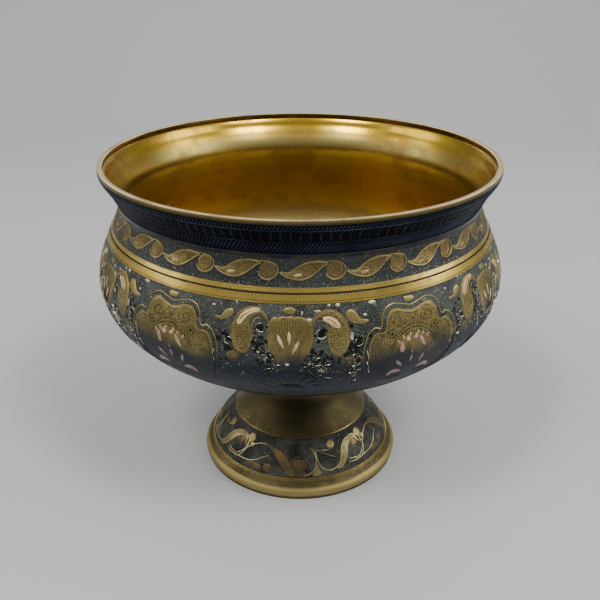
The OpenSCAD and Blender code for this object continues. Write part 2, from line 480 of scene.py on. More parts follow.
def new_group(name, inputs, outputs):
    """An empty node group with number inputs and outputs, and the sockets of its two ends."""
    group = bpy.data.node_groups.new(name, "ShaderNodeTree")
    for label, value in inputs.items():
        socket = group.interface.new_socket(label, in_out="INPUT", socket_type="NodeSocketFloat")
        socket.default_value = value
    for label in outputs:
        group.interface.new_socket(label, in_out="OUTPUT", socket_type="NodeSocketFloat")
    return group, group.nodes.new("NodeGroupInput").outputs, group.nodes.new("NodeGroupOutput").inputs


def use_group(tree, group, **values):
    """Places a group in a material with its own values, and gives its outputs."""
    node = tree.nodes.new("ShaderNodeGroup")
    node.node_tree = group
    for label, value in values.items():
        node.inputs[label.replace("_", " ")].default_value = value
    return node.outputs


print("node helpers:", ", ".join(f.__name__ for f in (put, maths, spread, blend, noise, use_group)))

# %% [markdown]
# The lathe leaves rings that follow the radius on flat parts and the height on
# upright ones, so both are added up and a slow noise lets the rings wander.

# %% Effect: rings left by the lathe
RISE_SHARE = 1.31
lathe_rings, given, result = new_group(
    "Lathe rings", {"Rings per metre": 900.0, "Wander": 0.15}, ["Height", "Streak"])
t = lathe_rings
where, (x, y, z) = place(t)
square = maths(t, "ADD", maths(t, "MULTIPLY", x, x), maths(t, "MULTIPLY", y, y))
across = maths(t, "ADD", maths(t, "SQRT", square), maths(t, "MULTIPLY", z, RISE_SHARE))
wander = maths(t, "MULTIPLY", noise(t, {"Vector": where, "Scale": 14.0, "Detail": 1.0}), given["Wander"])
rings = maths(t, "ADD", maths(t, "MULTIPLY", across, given["Rings per metre"]), wander)
feed(t, result["Height"], noise(t, {"W": rings, "Scale": 1.0, "Detail": 3.0}, noise_dimensions="1D"))
broad = noise(t, {"W": rings, "Scale": 0.12, "Detail": 2.0}, noise_dimensions="1D")
feed(t, result["Streak"], spread(t, broad, 0.35, 0.65))
print(t.name, "has", len(t.nodes), "nodes")

# %% Effect: blotches of old toning
FLECKS_PER_BLOTCH = 22.0
toning, given, result = new_group("Toning", {"Size": 45.0, "Low": 0.42, "High": 0.62}, ["Blotch", "Fleck"])
t = toning
where, _ = place(t)
cloud = noise(t, {"Vector": where, "Scale": given["Size"], "Detail": 6.0, "Roughness": 0.62})
fleck = noise(t, {"Vector": where, "Scale": maths(t, "MULTIPLY", given["Size"], FLECKS_PER_BLOTCH),
                  "Detail": 3.0, "Roughness": 0.7})
feed(t, result["Blotch"], spread(t, cloud, given["Low"], given["High"]))
feed(t, result["Fleck"], spread(t, fleck, 0.46, 0.60))
print(t.name, "has", len(t.nodes), "nodes")

# %% Effect: stipple of punched ground
stipple, given, result = new_group(
    "Stipple", {"Dots per metre": 900.0, "Wall": 0.12}, ["Height", "Edge", "Spark"])
t = stipple
where, _ = place(t)
dots_per_metre = given["Dots per metre"]
pits = put(t, "ShaderNodeTexVoronoi", {"Vector": where, "Scale": dots_per_metre},
           feature="DISTANCE_TO_EDGE").outputs[0]
grit = noise(t, {"Vector": where, "Scale": maths(t, "MULTIPLY", dots_per_metre, 0.7),
                 "Detail": 4.0, "Roughness": 0.75})
feed(t, result["Height"], maths(t, "ADD", pits, grit))
feed(t, result["Edge"], spread(t, pits, 0.0, given["Wall"], 1.0, 0.0))
feed(t, result["Spark"], spread(t, grit, 0.60, 0.70))
print(t.name, "has", len(t.nodes), "nodes")

# %% Effect: a band of height
height_band, given, result = new_group(
    "Height band", {"Low": 0.0, "High": 1.0, "Soft": 0.001, "Ragged": 0.0}, ["Mask"])
t = height_band
where, (x, y, z) = place(t)
uneven = noise(t, {"Vector": where, "Scale": 60.0, "Detail": 3.0})
shift = maths(t, "MULTIPLY", maths(t, "SUBTRACT", uneven, 0.5), given["Ragged"])
level = maths(t, "ADD", z, shift)
above, below = (
    spread(t, level, maths(t, "SUBTRACT", given[end], given["Soft"]),
           maths(t, "ADD", given[end], given["Soft"]),
           first, last) for end, first, last in (("Low", 0.0, 1.0), ("High", 1.0, 0.0)))
feed(t, result["Mask"], maths(t, "MULTIPLY", above, below))
print("effects:", [g.name for g in bpy.data.node_groups])


# %% Starting a material
def new_material(name, **values):
    """A material with only its shader, whose constant values are set on its own sockets."""
    material = bpy.data.materials.new(name)
    material.use_nodes = True
    tree = material.node_tree
    tree.nodes.clear()
    shader = tree.nodes.new("ShaderNodeBsdfPrincipled")
    put(tree, "ShaderNodeOutputMaterial", {0: shader.outputs[0]})
    for label, value in values.items():
        shader.inputs[label.replace("_", " ")].default_value = value
    return material, tree, shader.inputs


def bump(tree, shader, height, distance):
    """Feeds a height into the shader's normal. distance is in metres."""
    raised = put(tree, "ShaderNodeBump", {"Strength": 1.0, "Distance": distance, "Height": height})
    feed(tree, shader["Normal"], raised.outputs[0])


# %% [markdown]
# ### Brass
#
# Old brass is one metal with many tones: bright and warm where it is rubbed,
# olive where it has been let go. One recipe makes them all. It is given a bright
# colour, a toned colour and a deep one for the flecks. Bands of height lay other
# colours over these; the nearly black, bluish tone under the belly is painted
# shade and painted reflection.

# %% Brass recipe
LOW = -1.0
TOP = 1.0


def band_mask(tree, low, high, soft, ragged):
    return use_group(tree, height_band, Low=low, High=high, Soft=soft, Ragged=ragged)["Mask"]


def tint_bands(tree, colour, bands):
    """Changes a colour within bands of height, each (low, high, soft, ragged, colour)."""
    for *limits, tint in bands:
        colour = blend(tree, band_mask(tree, *limits), colour, tint)
    return colour


def brass(name, bright, toned, deep, roughness, rings=900.0, ring_depth=4e-6, bands=(),
          spot=45.0, cover=(0.42, 0.62), flecks=0.4, deep_rough=0.0, mottle=0.0):
    """Brass with turning rings, blotches of toning, and other colours in bands of height, several of them
    painted shade.
    """
    material, tree, shader = new_material("brass_" + name, Metallic=1.0)
    turned = use_group(tree, lathe_rings, Rings_per_metre=rings)
    tone = use_group(tree, toning, Size=spot, Low=cover[0], High=cover[1])
    colour = blend(tree, tone["Blotch"], bright, toned)
    colour = blend(tree, turned["Streak"], colour, toned, share=0.35)
    colour = blend(tree, tone["Fleck"], colour, deep, share=flecks)
    colour = tint_bands(tree, colour, bands)
    if mottle:
        colour = blend(tree, tone["Blotch"], colour, deep, share=mottle)
    feed(tree, shader["Base Color"], colour)
    rough = maths(tree, "ADD", roughness, maths(tree, "MULTIPLY", tone["Blotch"], 0.12))
    if deep_rough:
        depth = band_mask(tree, LOW, bands[0][1], 0.004, 0.01)
        rough = maths(tree, "ADD", rough, maths(tree, "MULTIPLY", depth, deep_rough))
    feed(tree, shader["Roughness"], rough)
    bump(tree, shader, turned["Height"], ring_depth)
    return material


# Heights in metres at which the tone of the metal changes
LIP_Z = HEIGHT * MM
THROAT_Z = LIP_Z - 0.0135
NECK_FOOT_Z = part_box("shoulder_lac_fill")[1].z - 0.005
BELLY_TOP_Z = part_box("belly_lac_fill")[1].z
# below about SHADE_Z the outside is painted darker and bluer: painted shade and painted reflection
SHADE_Z = BELLY_Z * MM + 0.0042
VINE_TOP_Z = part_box("foot_lac_fill")[1].z
print("tones change at", [round(z / MM) for z in (THROAT_Z, NECK_FOOT_Z, BELLY_TOP_Z, SHADE_Z, VINE_TOP_Z)])

# %% [markdown]
# The inside is the brightest, and its colour deepens towards the floor. The
# outside is toned. Cut lines stay brighter than the flat motifs they edge, and
# below the widest belly everything is darkened to a blue-black by painted shade
# and painted reflection.

# %% The brasses
inside_brass = brass(
    "inside", (0.68, 0.43, 0.040), (0.58, 0.36, 0.036), (0.21, 0.105, 0.034), 0.22, rings=700.0,
    spot=34.0, cover=(0.46, 0.64), flecks=0.12, deep_rough=0.12, mottle=0.55, bands=[
        (LOW, THROAT_Z, 0.004, 0.012, (0.38, 0.30, 0.095)),
        (LOW, LIP_Z - 0.040, 0.016, 0.080, (0.45, 0.275, 0.095)),
        (LOW, LIP_Z - 0.062, 0.018, 0.060, (0.42, 0.315, 0.10)),
        (LOW, LIP_Z - 0.092, 0.016, 0.030, (0.68, 0.49, 0.125)),
        # painted shade: the upright step inside the lip is darkened as if in shadow
        (LIP_Z - 0.0031, LIP_Z - 0.0003, 0.0002, 0.0, (0.17, 0.13, 0.045)),
        (LIP_Z - 0.0002, TOP, 0.0001, 0.0, (0.58, 0.44, 0.18))])
ring_brass = brass(
    "ring", (0.63, 0.435, 0.09), (0.42, 0.29, 0.07), (0.16, 0.11, 0.035), 0.25, spot=90.0,
    flecks=0.5, mottle=0.25, bands=[
        (BELLY_TOP_Z, NECK_FOOT_Z, 0.001, 0.0, (0.63, 0.44, 0.092)),
        # painted shade and painted reflection: the outside from the neck's foot to the lip, the lip's outer
        # face and all below 100 mm are darkened
        (NECK_FOOT_Z, LIP_Z - 0.004, 0.001, 0.0, (0.017, 0.020, 0.023)),
        (LIP_Z - 0.0035, TOP, 0.0006, 0.0, (0.095, 0.075, 0.033)),
        (LIP_Z - 0.0010, TOP, 0.0004, 0.0, (0.30, 0.235, 0.090)),
        (LOW, 0.1, 0.001, 0.0, (0.02, 0.02, 0.022))])
motif_brass = brass(
    "motif", (0.42, 0.325, 0.11), (0.27, 0.205, 0.07), (0.12, 0.095, 0.042), 0.38, ring_depth=2e-6,
    spot=70.0, flecks=0.75, bands=[
        # painted shade and a painted dark blue reflection below the widest belly; the second band hides the
        # lotus
        (LOW, SHADE_Z - 0.0025, 0.0075, 0.018, (0.038, 0.042, 0.047)),
        (LOW, SHADE_Z - 0.018, 0.008, 0.008, (0.010, 0.015, 0.028))])
leaf_brass = brass("leaf", (0.37, 0.27, 0.095), (0.22, 0.155, 0.06), (0.045, 0.035, 0.02), 0.42,
                   ring_depth=2e-6, spot=120.0, flecks=0.8)
leaf_line_brass = brass("leaf_line", (0.52, 0.41, 0.16), (0.28, 0.22, 0.085), (0.08, 0.07, 0.04), 0.38,
                        ring_depth=1e-6, spot=130.0)
line_brass = brass("line", (0.54, 0.41, 0.13), (0.28, 0.215, 0.08), (0.10, 0.09, 0.055), 0.38,
                   ring_depth=1e-6, spot=120.0,
                   # painted shade and a painted dark blue reflection below the widest belly
                   bands=[(LOW, SHADE_Z - 0.004, 0.010, 0.016, (0.018, 0.027, 0.050))])
worn_brass = brass("worn", (0.90, 0.84, 0.62), (0.56, 0.52, 0.36), (0.12, 0.11, 0.08), 0.36,
                   ring_depth=1e-6, spot=180.0, flecks=0.45,
                   # painted shade: the bare crumbs are darkened low on the belly
                   bands=[(LOW, SHADE_Z - 0.020, 0.012, 0.012, (0.06, 0.08, 0.12))])
# the neck's dark blue brass colours are painted shade and painted reflection, not the metal's own colour
neck_brass = brass("neck", (0.090, 0.105, 0.150), (0.038, 0.048, 0.074), (0.022, 0.022, 0.028), 0.38,
                   ring_depth=1e-6, spot=60.0)
lobe_brass = brass("lobe", (0.030, 0.034, 0.044), (0.014, 0.017, 0.024), (0.045, 0.040, 0.030), 0.42,
                   ring_depth=1e-6, spot=60.0)
foot_brass = brass(
    "foot", (0.21, 0.16, 0.065), (0.12, 0.095, 0.042), (0.05, 0.042, 0.022), 0.46, rings=800.0,
    ring_depth=8e-6, spot=60.0, flecks=0.6, bands=[
        # painted shade and painted reflection: the stem under the bowl is darkened
        (VINE_TOP_Z + 0.004, TOP, 0.004, 0.006, (0.125, 0.102, 0.048)),
        (0.0022, 0.0068, 0.0006, 0.0, (0.38, 0.29, 0.115)),
        # painted shadow along the bottom of the base edge
        (LOW, 0.0017, 0.0004, 0.0, (0.10, 0.08, 0.04))])
vine_brass = brass("vine", (0.38, 0.30, 0.125), (0.22, 0.175, 0.075), (0.10, 0.08, 0.045), 0.42,
                   ring_depth=2e-6, spot=110.0)
vine_bright = brass("vine_line", (0.55, 0.465, 0.25), (0.30, 0.25, 0.125), (0.11, 0.09, 0.05), 0.36,
                    ring_depth=1e-6, spot=130.0)
vine_brown = brass("vine_brown", (0.23, 0.165, 0.075), (0.135, 0.095, 0.048), (0.05, 0.04, 0.025), 0.42,
                   ring_depth=2e-6, spot=110.0, flecks=0.6)
edge_brass = brass("edge", (0.66, 0.47, 0.12), (0.38, 0.27, 0.075), (0.14, 0.10, 0.04), 0.28)
print("brasses:", len([m for m in bpy.data.materials if m.name.startswith("brass")]))

# %% [markdown]
# ### Lac
#
# Lac is a dark resin melted into cut ground and scraped flush. Here it is worn
# and dusty: dark grey-green, crossed by the paler walls of the punched pits and
# by sparks of bare brass. Its nearly blue-black below the widest belly, on the
# neck and under the bowl is painted shade and painted reflection.

# %% Lac recipe
def lac(name, dusty, black, wall, dots, walls, edges, sparks, roughness, shine,
        bands=(), pit_depth=1.2e-4, spot=42.0):
    """Black lac in stippled ground. walls is how wide the pits' walls are, and
    edges and sparks are how much of the wall's colour shows there."""
    material, tree, shader = new_material("lac_" + name, Roughness=roughness, Specular_IOR_Level=shine)
    tone = use_group(tree, toning, Size=spot, Low=0.36, High=0.62)
    pits = use_group(tree, stipple, Dots_per_metre=dots, Wall=walls)
    colour = blend(tree, tone["Blotch"], dusty, black)
    colour = blend(tree, tone["Fleck"], colour, black, share=0.7)
    colour = tint_bands(tree, colour, bands)
    lit = maths(tree, "ADD", maths(tree, "MULTIPLY", pits["Edge"], edges),
                maths(tree, "MULTIPLY", pits["Spark"], sparks), clamp=True)
    # within the bands of painted shade the pale walls and sparks are left out too
    for *limits, _ in bands:
        lit = maths(tree, "MULTIPLY", lit, maths(tree, "SUBTRACT", 1.0, band_mask(tree, *limits)))
    feed(tree, shader["Base Color"], blend(tree, lit, colour, wall))
    feed(tree, shader["Metallic"], maths(tree, "MULTIPLY", lit, 0.6))
    bump(tree, shader, pits["Height"], pit_depth)
    return material


ground_lac = lac("ground", (0.056, 0.065, 0.057), (0.006, 0.009, 0.010), (0.36, 0.36, 0.28), dots=1000.0,
                 walls=0.11, edges=0.30, sparks=0.85, roughness=0.44, shine=0.22, spot=64.0,
                 # painted shade and a painted dark blue reflection below the widest belly
                 bands=[(LOW, SHADE_Z - 0.005, 0.010, 0.016, (0.003, 0.007, 0.019))])
shoulder_lac = lac("shoulder", (0.016, 0.023, 0.023), (0.003, 0.004, 0.005), (0.30, 0.31, 0.25), dots=1000.0,
                   walls=0.10, edges=0.18, sparks=0.75, roughness=0.40, shine=0.34)
# the blue-black of the neck and the underside is painted shade and painted reflection
neck_lac = lac("neck", (0.0035, 0.0055, 0.014), (0.0015, 0.0025, 0.006), (0.03, 0.035, 0.05), dots=900.0,
               walls=0.08, edges=0.06, sparks=0.1, roughness=0.40, shine=0.03, pit_depth=3e-5)
under_lac = lac("under", (0.0035, 0.0065, 0.016), (0.002, 0.0035, 0.008), (0.03, 0.035, 0.05), dots=820.0,
                walls=0.08, edges=0.10, sparks=0.1, roughness=0.42, shine=0.04, pit_depth=6e-5)
foot_lac = lac("foot", (0.085, 0.090, 0.072), (0.005, 0.006, 0.006), (0.36, 0.34, 0.25), dots=1000.0,
               walls=0.09, edges=0.20, sparks=0.55, roughness=0.42, shine=0.15, spot=84.0)
line_lac = lac("line", (0.030, 0.026, 0.016), (0.008, 0.007, 0.005), (0.14, 0.12, 0.06), dots=900.0,
               walls=0.06, edges=0.05, sparks=0.2, roughness=0.45, shine=0.2, pit_depth=1e-5)
pit_lac = lac("pit", (0.005, 0.006, 0.006), (0.002, 0.003, 0.003), (0.05, 0.05, 0.04), dots=900.0,
              walls=0.06, edges=0.02, sparks=0.1, roughness=0.40, shine=0.2, pit_depth=5e-5)
print("lacs:", len([m for m in bpy.data.materials if m.name.startswith("lac")]))

# %% [markdown]
# The coloured inlays are a rose lac with copper in it, rubbed until the middle
# of each is pale. The fastening under the foot is plain zinced steel.

# %% Rose lac and steel
def rose(name, fresh, old):
    """Pale copper-coloured inlay, with painted shade below the widest belly."""
    material, tree, shader = new_material(name, Roughness=0.40, Metallic=0.35, Coat_Weight=0.08)
    tone = use_group(tree, toning, Size=260.0, Low=0.42, High=0.62)
    colour = blend(tree, tone["Blotch"], fresh, old)
    colour = blend(tree, tone["Fleck"], colour, (0.22, 0.12, 0.10), share=0.35)
    # painted shade: darker and redder below the widest belly
    low = band_mask(tree, LOW, SHADE_Z - 0.003, 0.008, 0.01)
    feed(tree, shader["Base Color"], blend(tree, low, colour, (0.20, 0.11, 0.14), share=0.8))
    bump(tree, shader, tone["Fleck"], 3e-5)
    return material


rose_lac = rose("lac_rose", (0.78, 0.53, 0.38), (0.58, 0.31, 0.21))
rose_cream = rose("lac_rose_cream", (0.84, 0.64, 0.34), (0.56, 0.35, 0.17))
rose_dim = rose("lac_rose_dim", (0.60, 0.43, 0.25), (0.34, 0.21, 0.11))
steel, tree, shader = new_material("steel_zinc", Metallic=1.0)
tone = use_group(tree, toning, Size=180.0, Low=0.4, High=0.7)
feed(tree, shader["Base Color"], blend(tree, tone["Blotch"], (0.55, 0.55, 0.54), (0.38, 0.36, 0.33)))
feed(tree, shader["Roughness"], maths(tree, "ADD", 0.3, maths(tree, "MULTIPLY", tone["Fleck"], 0.25)))
bump(tree, shader, use_group(tree, lathe_rings, Rings_per_metre=2600.0)["Height"], 6e-6)
print("materials:", len(bpy.data.materials))

# %% [markdown]
# ## The turned bodies
#
# The bowl is one casting, but its inside and its outside have very different
# skins: the inside is still polished, and the outside has toned. It is dressed
# as two close-fitting shells that meet in the middle of the wall. The outer
# one has every band cut into it, so the ground of each band really lies lower
# than the plain rings.

# %% Bands, as distances down the curves
NECK = bowl_face.band("neck_lac_fill")
SHOULDER = bowl_face.band("shoulder_lac_fill")
RING_LINE = bowl_face.band("ring_line_fill")
BELLY = bowl_face.band("belly_lac_fill")
UNDER = bowl_face.band("underside_lac_fill")
VINE = foot_face.band("foot_lac_fill")
for name, band in (("neck", NECK), ("shoulder", SHOULDER), ("ring", RING_LINE), ("belly", BELLY),
                   ("under", UNDER), ("vine", VINE)):
    print(name, "from", round(band[0], 1), "to", round(band[1], 1), "mm down the curve")


def face_line(face, start, end, lift=0.0, step=1.2):
    """Radius and height points along a face, moved out by lift."""
    s = np.linspace(start, end, max(int((end - start) / step), 2) + 1)
    return np.stack(face.at(s, lift), 1)


def cut_line(face, start, end, bands, step=1.2):
    """The line of a face with square-sided bands cut into it."""
    parts = []
    here = start
    for top, bottom in bands:
        parts += [face_line(face, here, top, 0.0, step), face_line(face, top, bottom, -LAC_DEPTH, step)]
        here = bottom
    return np.concatenate([*parts, face_line(face, here, end, 0.0, step)])


# %% Outside of the bowl
SPIGOT_R = 14.0
LATHE_STEPS = 256
s_at = bowl_face.down_to
wall_start = s_at(HEIGHT - 9)
outside = cut_line(bowl_face, 0.6, bowl_face.along[-1], [NECK, SHOULDER, RING_LINE, BELLY, UNDER])
half_wall = face_line(bowl_face, wall_start, s_at(JOINT_Z + 4.5), -WALL / 2, 2.5)[::-1]
bottom = [(STEM_R + 1, JOINT_Z), (SPIGOT_R, JOINT_Z), (SPIGOT_R, SPIGOT_Z + 0.8),
          (SPIGOT_R - 0.8, SPIGOT_Z), (4.0, SPIGOT_Z), (4.0, JOINT_Z + 1), (0.001, JOINT_Z + 1),
          (0.001, JOINT_Z + 2.4), (STEM_R + 3, JOINT_Z + 2.4)]
top = [(LIP_R - 2.2, HEIGHT - 4.2), (LIP_R - 1.2, HEIGHT - 0.9)]
make_object("bowl_outside", lathe(np.concatenate([outside, bottom, half_wall, top]), LATHE_STEPS),
            ring_brass, "bowl_brass", replaces=("bowl",), sharp=50)

# %% [markdown]
# The inside carries the marks of the lathe that smoothed it: very shallow
# waves that catch the light as rings. The lip is part of the same shell. Its
# flat top, the step inside it and the narrow ledge at the foot of the step are
# turned sharp.

# %% Inside of the bowl
LIP_CORNER = 0.55
WAVE = 0.035
FLOOR_Z = JOINT_Z + 4.6
lip_inner = LIP_R - LIP_W
step_z = HEIGHT - LIP_STEP
ledge_r = LIP_R - LIP_W - 0.8
inner_line = face_line(bowl_face, wall_start, s_at(JOINT_Z + 4.6 + WALL), -WALL, 1.6)
count = np.arange(len(inner_line))
inner_line[:, 0] += WAVE * np.sin(count * 2.1) * np.sin(count * 0.37)
inner_line = inner_line[inner_line[:, 1] > FLOOR_Z + 0.6]
lip = [(LIP_R - 1.0, HEIGHT - 1.2), (LIP_R - 0.12, HEIGHT - 0.9), (LIP_R - 0.16, HEIGHT - 0.16 * LIP_CORNER),
       (LIP_R - LIP_CORNER, HEIGHT), (lip_inner + 0.3, HEIGHT), (lip_inner + 0.05, HEIGHT - 0.1),
       (lip_inner, HEIGHT - 0.35), (lip_inner, step_z + 0.15), (lip_inner - 0.15, step_z),
       (ledge_r + 0.2, step_z), (ledge_r, step_z - 0.2), (ledge_r - 1, step_z - 3)]
floor_line = [(STEM_R + 4, FLOOR_Z), (STEM_R - 6, FLOOR_Z + 0.05), (0.001, FLOOR_Z), (0.001, FLOOR_Z - 1.9),
              (STEM_R + 3, FLOOR_Z - 1.9)]
back = face_line(bowl_face, wall_start, s_at(JOINT_Z + 5.2), -WALL / 2 - 0.05, 2.5)[::-1]
back_top = [(LIP_R - 2.3, HEIGHT - 4.3)]
make_object("bowl_inside", lathe(np.concatenate([lip, inner_line, floor_line, back, back_top]), LATHE_STEPS),
            inside_brass, "bowl_brass", replaces=("bowl",), sharp=35)

# %% [markdown]
# The foot is a trumpet cast hollow. Its base edge is a small upright band with
# a bright worn corner, and rings are turned above it.

# %% Foot body
WEB_Z = top_and_bottom("foot_washer")[0]
foot_outer = cut_line(foot_face, foot_face.along[0], foot_face.along[-1], [VINE], 0.6)
hollow = face_line(foot_face, foot_face.down_to(44.0), foot_face.down_to(5.0), -3.0, 2.5)[::-1]
foot_in = [(FOOT_R - 5, 0), (FOOT_R - 5, 3)]
socket_r, socket_z = SPIGOT_R + 0.1, SPIGOT_Z - 0.5
foot_up = [(STEM_R - 4, WEB_Z), (4.5, WEB_Z), (4.5, socket_z), (socket_r, socket_z), (socket_r, JOINT_Z)]
make_object("foot_body", lathe(np.concatenate([foot_outer, foot_in, hollow, foot_up]), 224),
            foot_brass, "foot_brass", replaces=("pedestal_foot",), sharp=45)

# %% [markdown]
# ## The lac ground
#
# The ground of each band was punched all over so that the lac would grip. It
# lies a quarter of a millimetre below the brass and is far from flat: soft
# dents, small pits and worn hollows. The dents are moved in the mesh, and only
# the finest grain is left to the material.

# %% Rough rings of lac
def soft_noise(x, y, size, seed):
    """Smooth noise from -1 to 1 on a sheet whose x wraps round at 1."""
    rows, columns = size
    table = np.random.default_rng(seed).uniform(-1, 1, (rows + 1, columns))
    gx, gy = x * columns, y * rows
    ix, iy = np.floor(gx).astype(int) % columns, np.clip(np.floor(gy).astype(int), 0, rows - 1)
    fx, fy = gx - np.floor(gx), np.clip(gy - iy, 0, 1)
    fx, fy = fx * fx * (3 - 2 * fx), fy * fy * (3 - 2 * fy)
    jx = (ix + 1) % columns
    upper = table[iy, ix] * (1 - fx) + table[iy, jx] * fx
    lower = table[iy + 1, ix] * (1 - fx) + table[iy + 1, jx] * fx
    return upper * (1 - fy) + lower * fy


def ground(name, face, band, material, node, columns, rows, level, rough, seed):
    """A ring of lac in a band, with a dented outer face, in place of a plain one."""
    u, s = np.meshgrid(np.arange(columns) / columns, np.linspace(band[0] + 0.02, band[1] - 0.02, rows))
    v = (s - band[0]) / (band[1] - band[0])
    coarse = soft_noise(u, v, (max(rows // 7, 1), columns // 7), seed)
    fine = soft_noise(u, v, (max(rows // 2, 1), columns // 2), seed + 1)
    lift = level + rough * (0.6 * coarse + 0.6 * fine)
    lift[0] = lift[-1] = level
    turn = 2 * math.pi * u
    outer = spun(*face.at(s, lift), turn).reshape(-1, 3)
    back = np.unique(np.linspace(rows - 1, 0, max(rows // 3, 2)).astype(int))[::-1]
    inner = spun(*face.at(s[back], -LAC_DEPTH + 0.02), turn[back]).reshape(-1, 3)
    shape = np.concatenate([outer, inner]) * MM, grid_faces(rows + len(back), columns)
    return make_object(name, shape, material, "black_lac", replaces=(node,), sharp=60)


ground("neck_ground", bowl_face, NECK, neck_lac, "neck_lac_fill", 900, 24, -0.12, 0.03, 11)
ground("shoulder_ground", bowl_face, SHOULDER, shoulder_lac, "shoulder_lac_fill", 900, 22, -0.25, 0.10, 21)
ground("ring_line_ground", bowl_face, RING_LINE, line_lac, "ring_line_fill", 360, 3, -0.15, 0.0, 31)
ground("belly_ground", bowl_face, BELLY, ground_lac, "belly_lac_fill", 840, 78, -0.25, 0.16, 41)
ground("underside_ground", bowl_face, UNDER, under_lac, "underside_lac_fill", 720, 34, -0.25, 0.10, 51)
ground("foot_ground", foot_face, VINE, foot_lac, "foot_lac_fill", 460, 36, -0.25, 0.10, 61)

# %% [markdown]
# ## The neck
#
# Rows of strokes run round the dark neck: short slashes under the lip, a tall
# row of rounded lobes with a fine line between each two, and long slashes that
# lean the same way. Each stroke was one push of a graver. The slashes are a
# little paler than the lac, and the lobes hardly show. The dark blue of the
# neck is painted shade and painted reflection.

# %% Feather strokes on the neck
def strokes(name, rows, ref, material, slot, face=bowl_face):
    """Rows of one repeated stroke; each row has its own distance between strokes."""
    whole = Sheet()
    for line, width, high, pitch in rows:
        sheet = Sheet()
        score(sheet, line, width, high, low=-0.30, taper=0.65)
        points, faces = sheet.everything()
        number = round(2 * math.pi * ref / pitch)
        for k in range(number):
            whole.add(face.wrap(points, 2 * math.pi * k / number, ref), faces)
    return make_object(name, whole.everything(), material, slot)


def ring_threads(name, face, rings, material, slot, steps=360):
    """Thin raised rings round a surface, each given as (s, width, low, high)."""
    whole = Sheet()
    for s, width, low, high in rings:
        corners = [(s - width / 2, low), (s - 0.3 * width, high),
                   (s + 0.3 * width, high), (s + width / 2, low)]
        rows = [spun(*face.at(where, lift), full_turn(steps)) for where, lift in corners]
        whole.add(np.concatenate(rows) * MM, grid_faces(len(corners), steps))
    return make_object(name, whole.everything(), material, slot)


NECK_REF = 108.0
short_slash = curve([(0.9, 2.5), (0.3, 3.6), (-0.5, 4.8)], 0.8)
long_slash = curve([(2.3, 14.4), (1.4, 16.2), (0.1, 18.4), (-1.8, 21.0)], 1.2)
lobe = curve([(0.7, 6.2), (0.25, 8.5), (0.3, 11.0), (0.9, 13.4)], 1.2)
lobe_line = curve([(2.6, 6.4), (2.25, 8.6), (2.3, 11.0), (2.8, 13.2)], 1.2)
strokes("neck_strokes", [(short_slash, 0.95, 0.04, 1.85), (long_slash, 0.95, 0.04, 2.0)],
        NECK_REF, neck_brass, "bowl_brass")
strokes("neck_lobes", [(lobe, 2.3, 0.0, 4.4), (lobe_line, 0.45, 0.02, 4.4)], NECK_REF, lobe_brass,
        "bowl_brass")
ring_threads("neck_rings", bowl_face, [(5.5, 0.35, -0.3, 0.0), (14.0, 0.3, -0.3, -0.02),
                                       (21.9, 0.5, -0.3, 0.02), (23.1, 0.45, -0.3, 0.0)],
             neck_brass, "bowl_brass")

# %% [markdown]
# ## The shoulder
#
# Twenty-one curled leaves follow each other round the shoulder. Each was left
# standing when the ground was cut away. It has a bright outline, a dotted
# middle, a hooded curl at its tip with a rose core, and a stem that rolls over
# a round bud before it joins the next leaf.

# %% Circles, arcs and studs
def circle(x, y, r, count=28, squash=1.0):
    """Points round a circle, or round an ellipse when squashed."""
    turn = full_turn(count)
    return np.stack([x + r * np.cos(turn), y + r * squash * np.sin(turn)], 1)


def arc(x, y, r, start, end, step=0.5):
    """Part of a circle, with angles in degrees from +x towards +s."""
    start, end = math.radians(start), math.radians(end)
    turn = np.linspace(start, end, max(int(abs(end - start) * r / step), 4))
    return np.stack([x + r * np.cos(turn), y + r * np.sin(turn)], 1)


def turned_by(angle):
    """The matrix that turns points on a sheet."""
    return np.array([[math.cos(angle), -math.sin(angle)], [math.sin(angle), math.cos(angle)]])


def stud(sheet, ring, spot, low, high, share):
    """A low five-sided stud: a ring of points round 0 at a spot, and a smaller ring on top."""
    rings = [np.column_stack([ring * scale + spot, np.full(5, lift)])
             for scale, lift in ((1, low), (share, high))]
    ends = [(5, 6, 7, 8, 9), (4, 3, 2, 1, 0)]
    sheet.add(np.concatenate(rings), grid_faces(2, 5, closed=False) + ends)


def shrunk(outline, share):
    """An outline drawn smaller about its middle."""
    middle = outline.mean(0)
    return middle + (outline - middle) * share


def dots(sheet, outline, pitch, size, high, seed, holes=()):
    """Small punched dots scattered over an outline, but not in its holes (x, s, radius)."""
    rng = np.random.default_rng(seed)
    grid = seed_grid(outline, pitch)
    spots = grid + rng.uniform(-0.25, 0.25, grid.shape) * pitch
    spots = spots[inside(spots, outline)]
    spots = spots[clear_of(spots, outline) > 1.6 * size]
    for x, y, r in holes:
        spots = spots[np.hypot(spots[:, 0] - x, spots[:, 1] - y) > r]
    for spot in spots:
        r = size * rng.uniform(0.7, 1.2)
        stud(sheet, circle(0, 0, r, 5) @ turned_by(rng.uniform(0, 6.28)), spot, -0.05, high, 0.6)


sample = Sheet()
dots(sample, circle(0, 0, 5), 1.2, 0.3, 0.05, 1)
print("dots that fit in a circle 10 mm wide:", sample.count // 10)

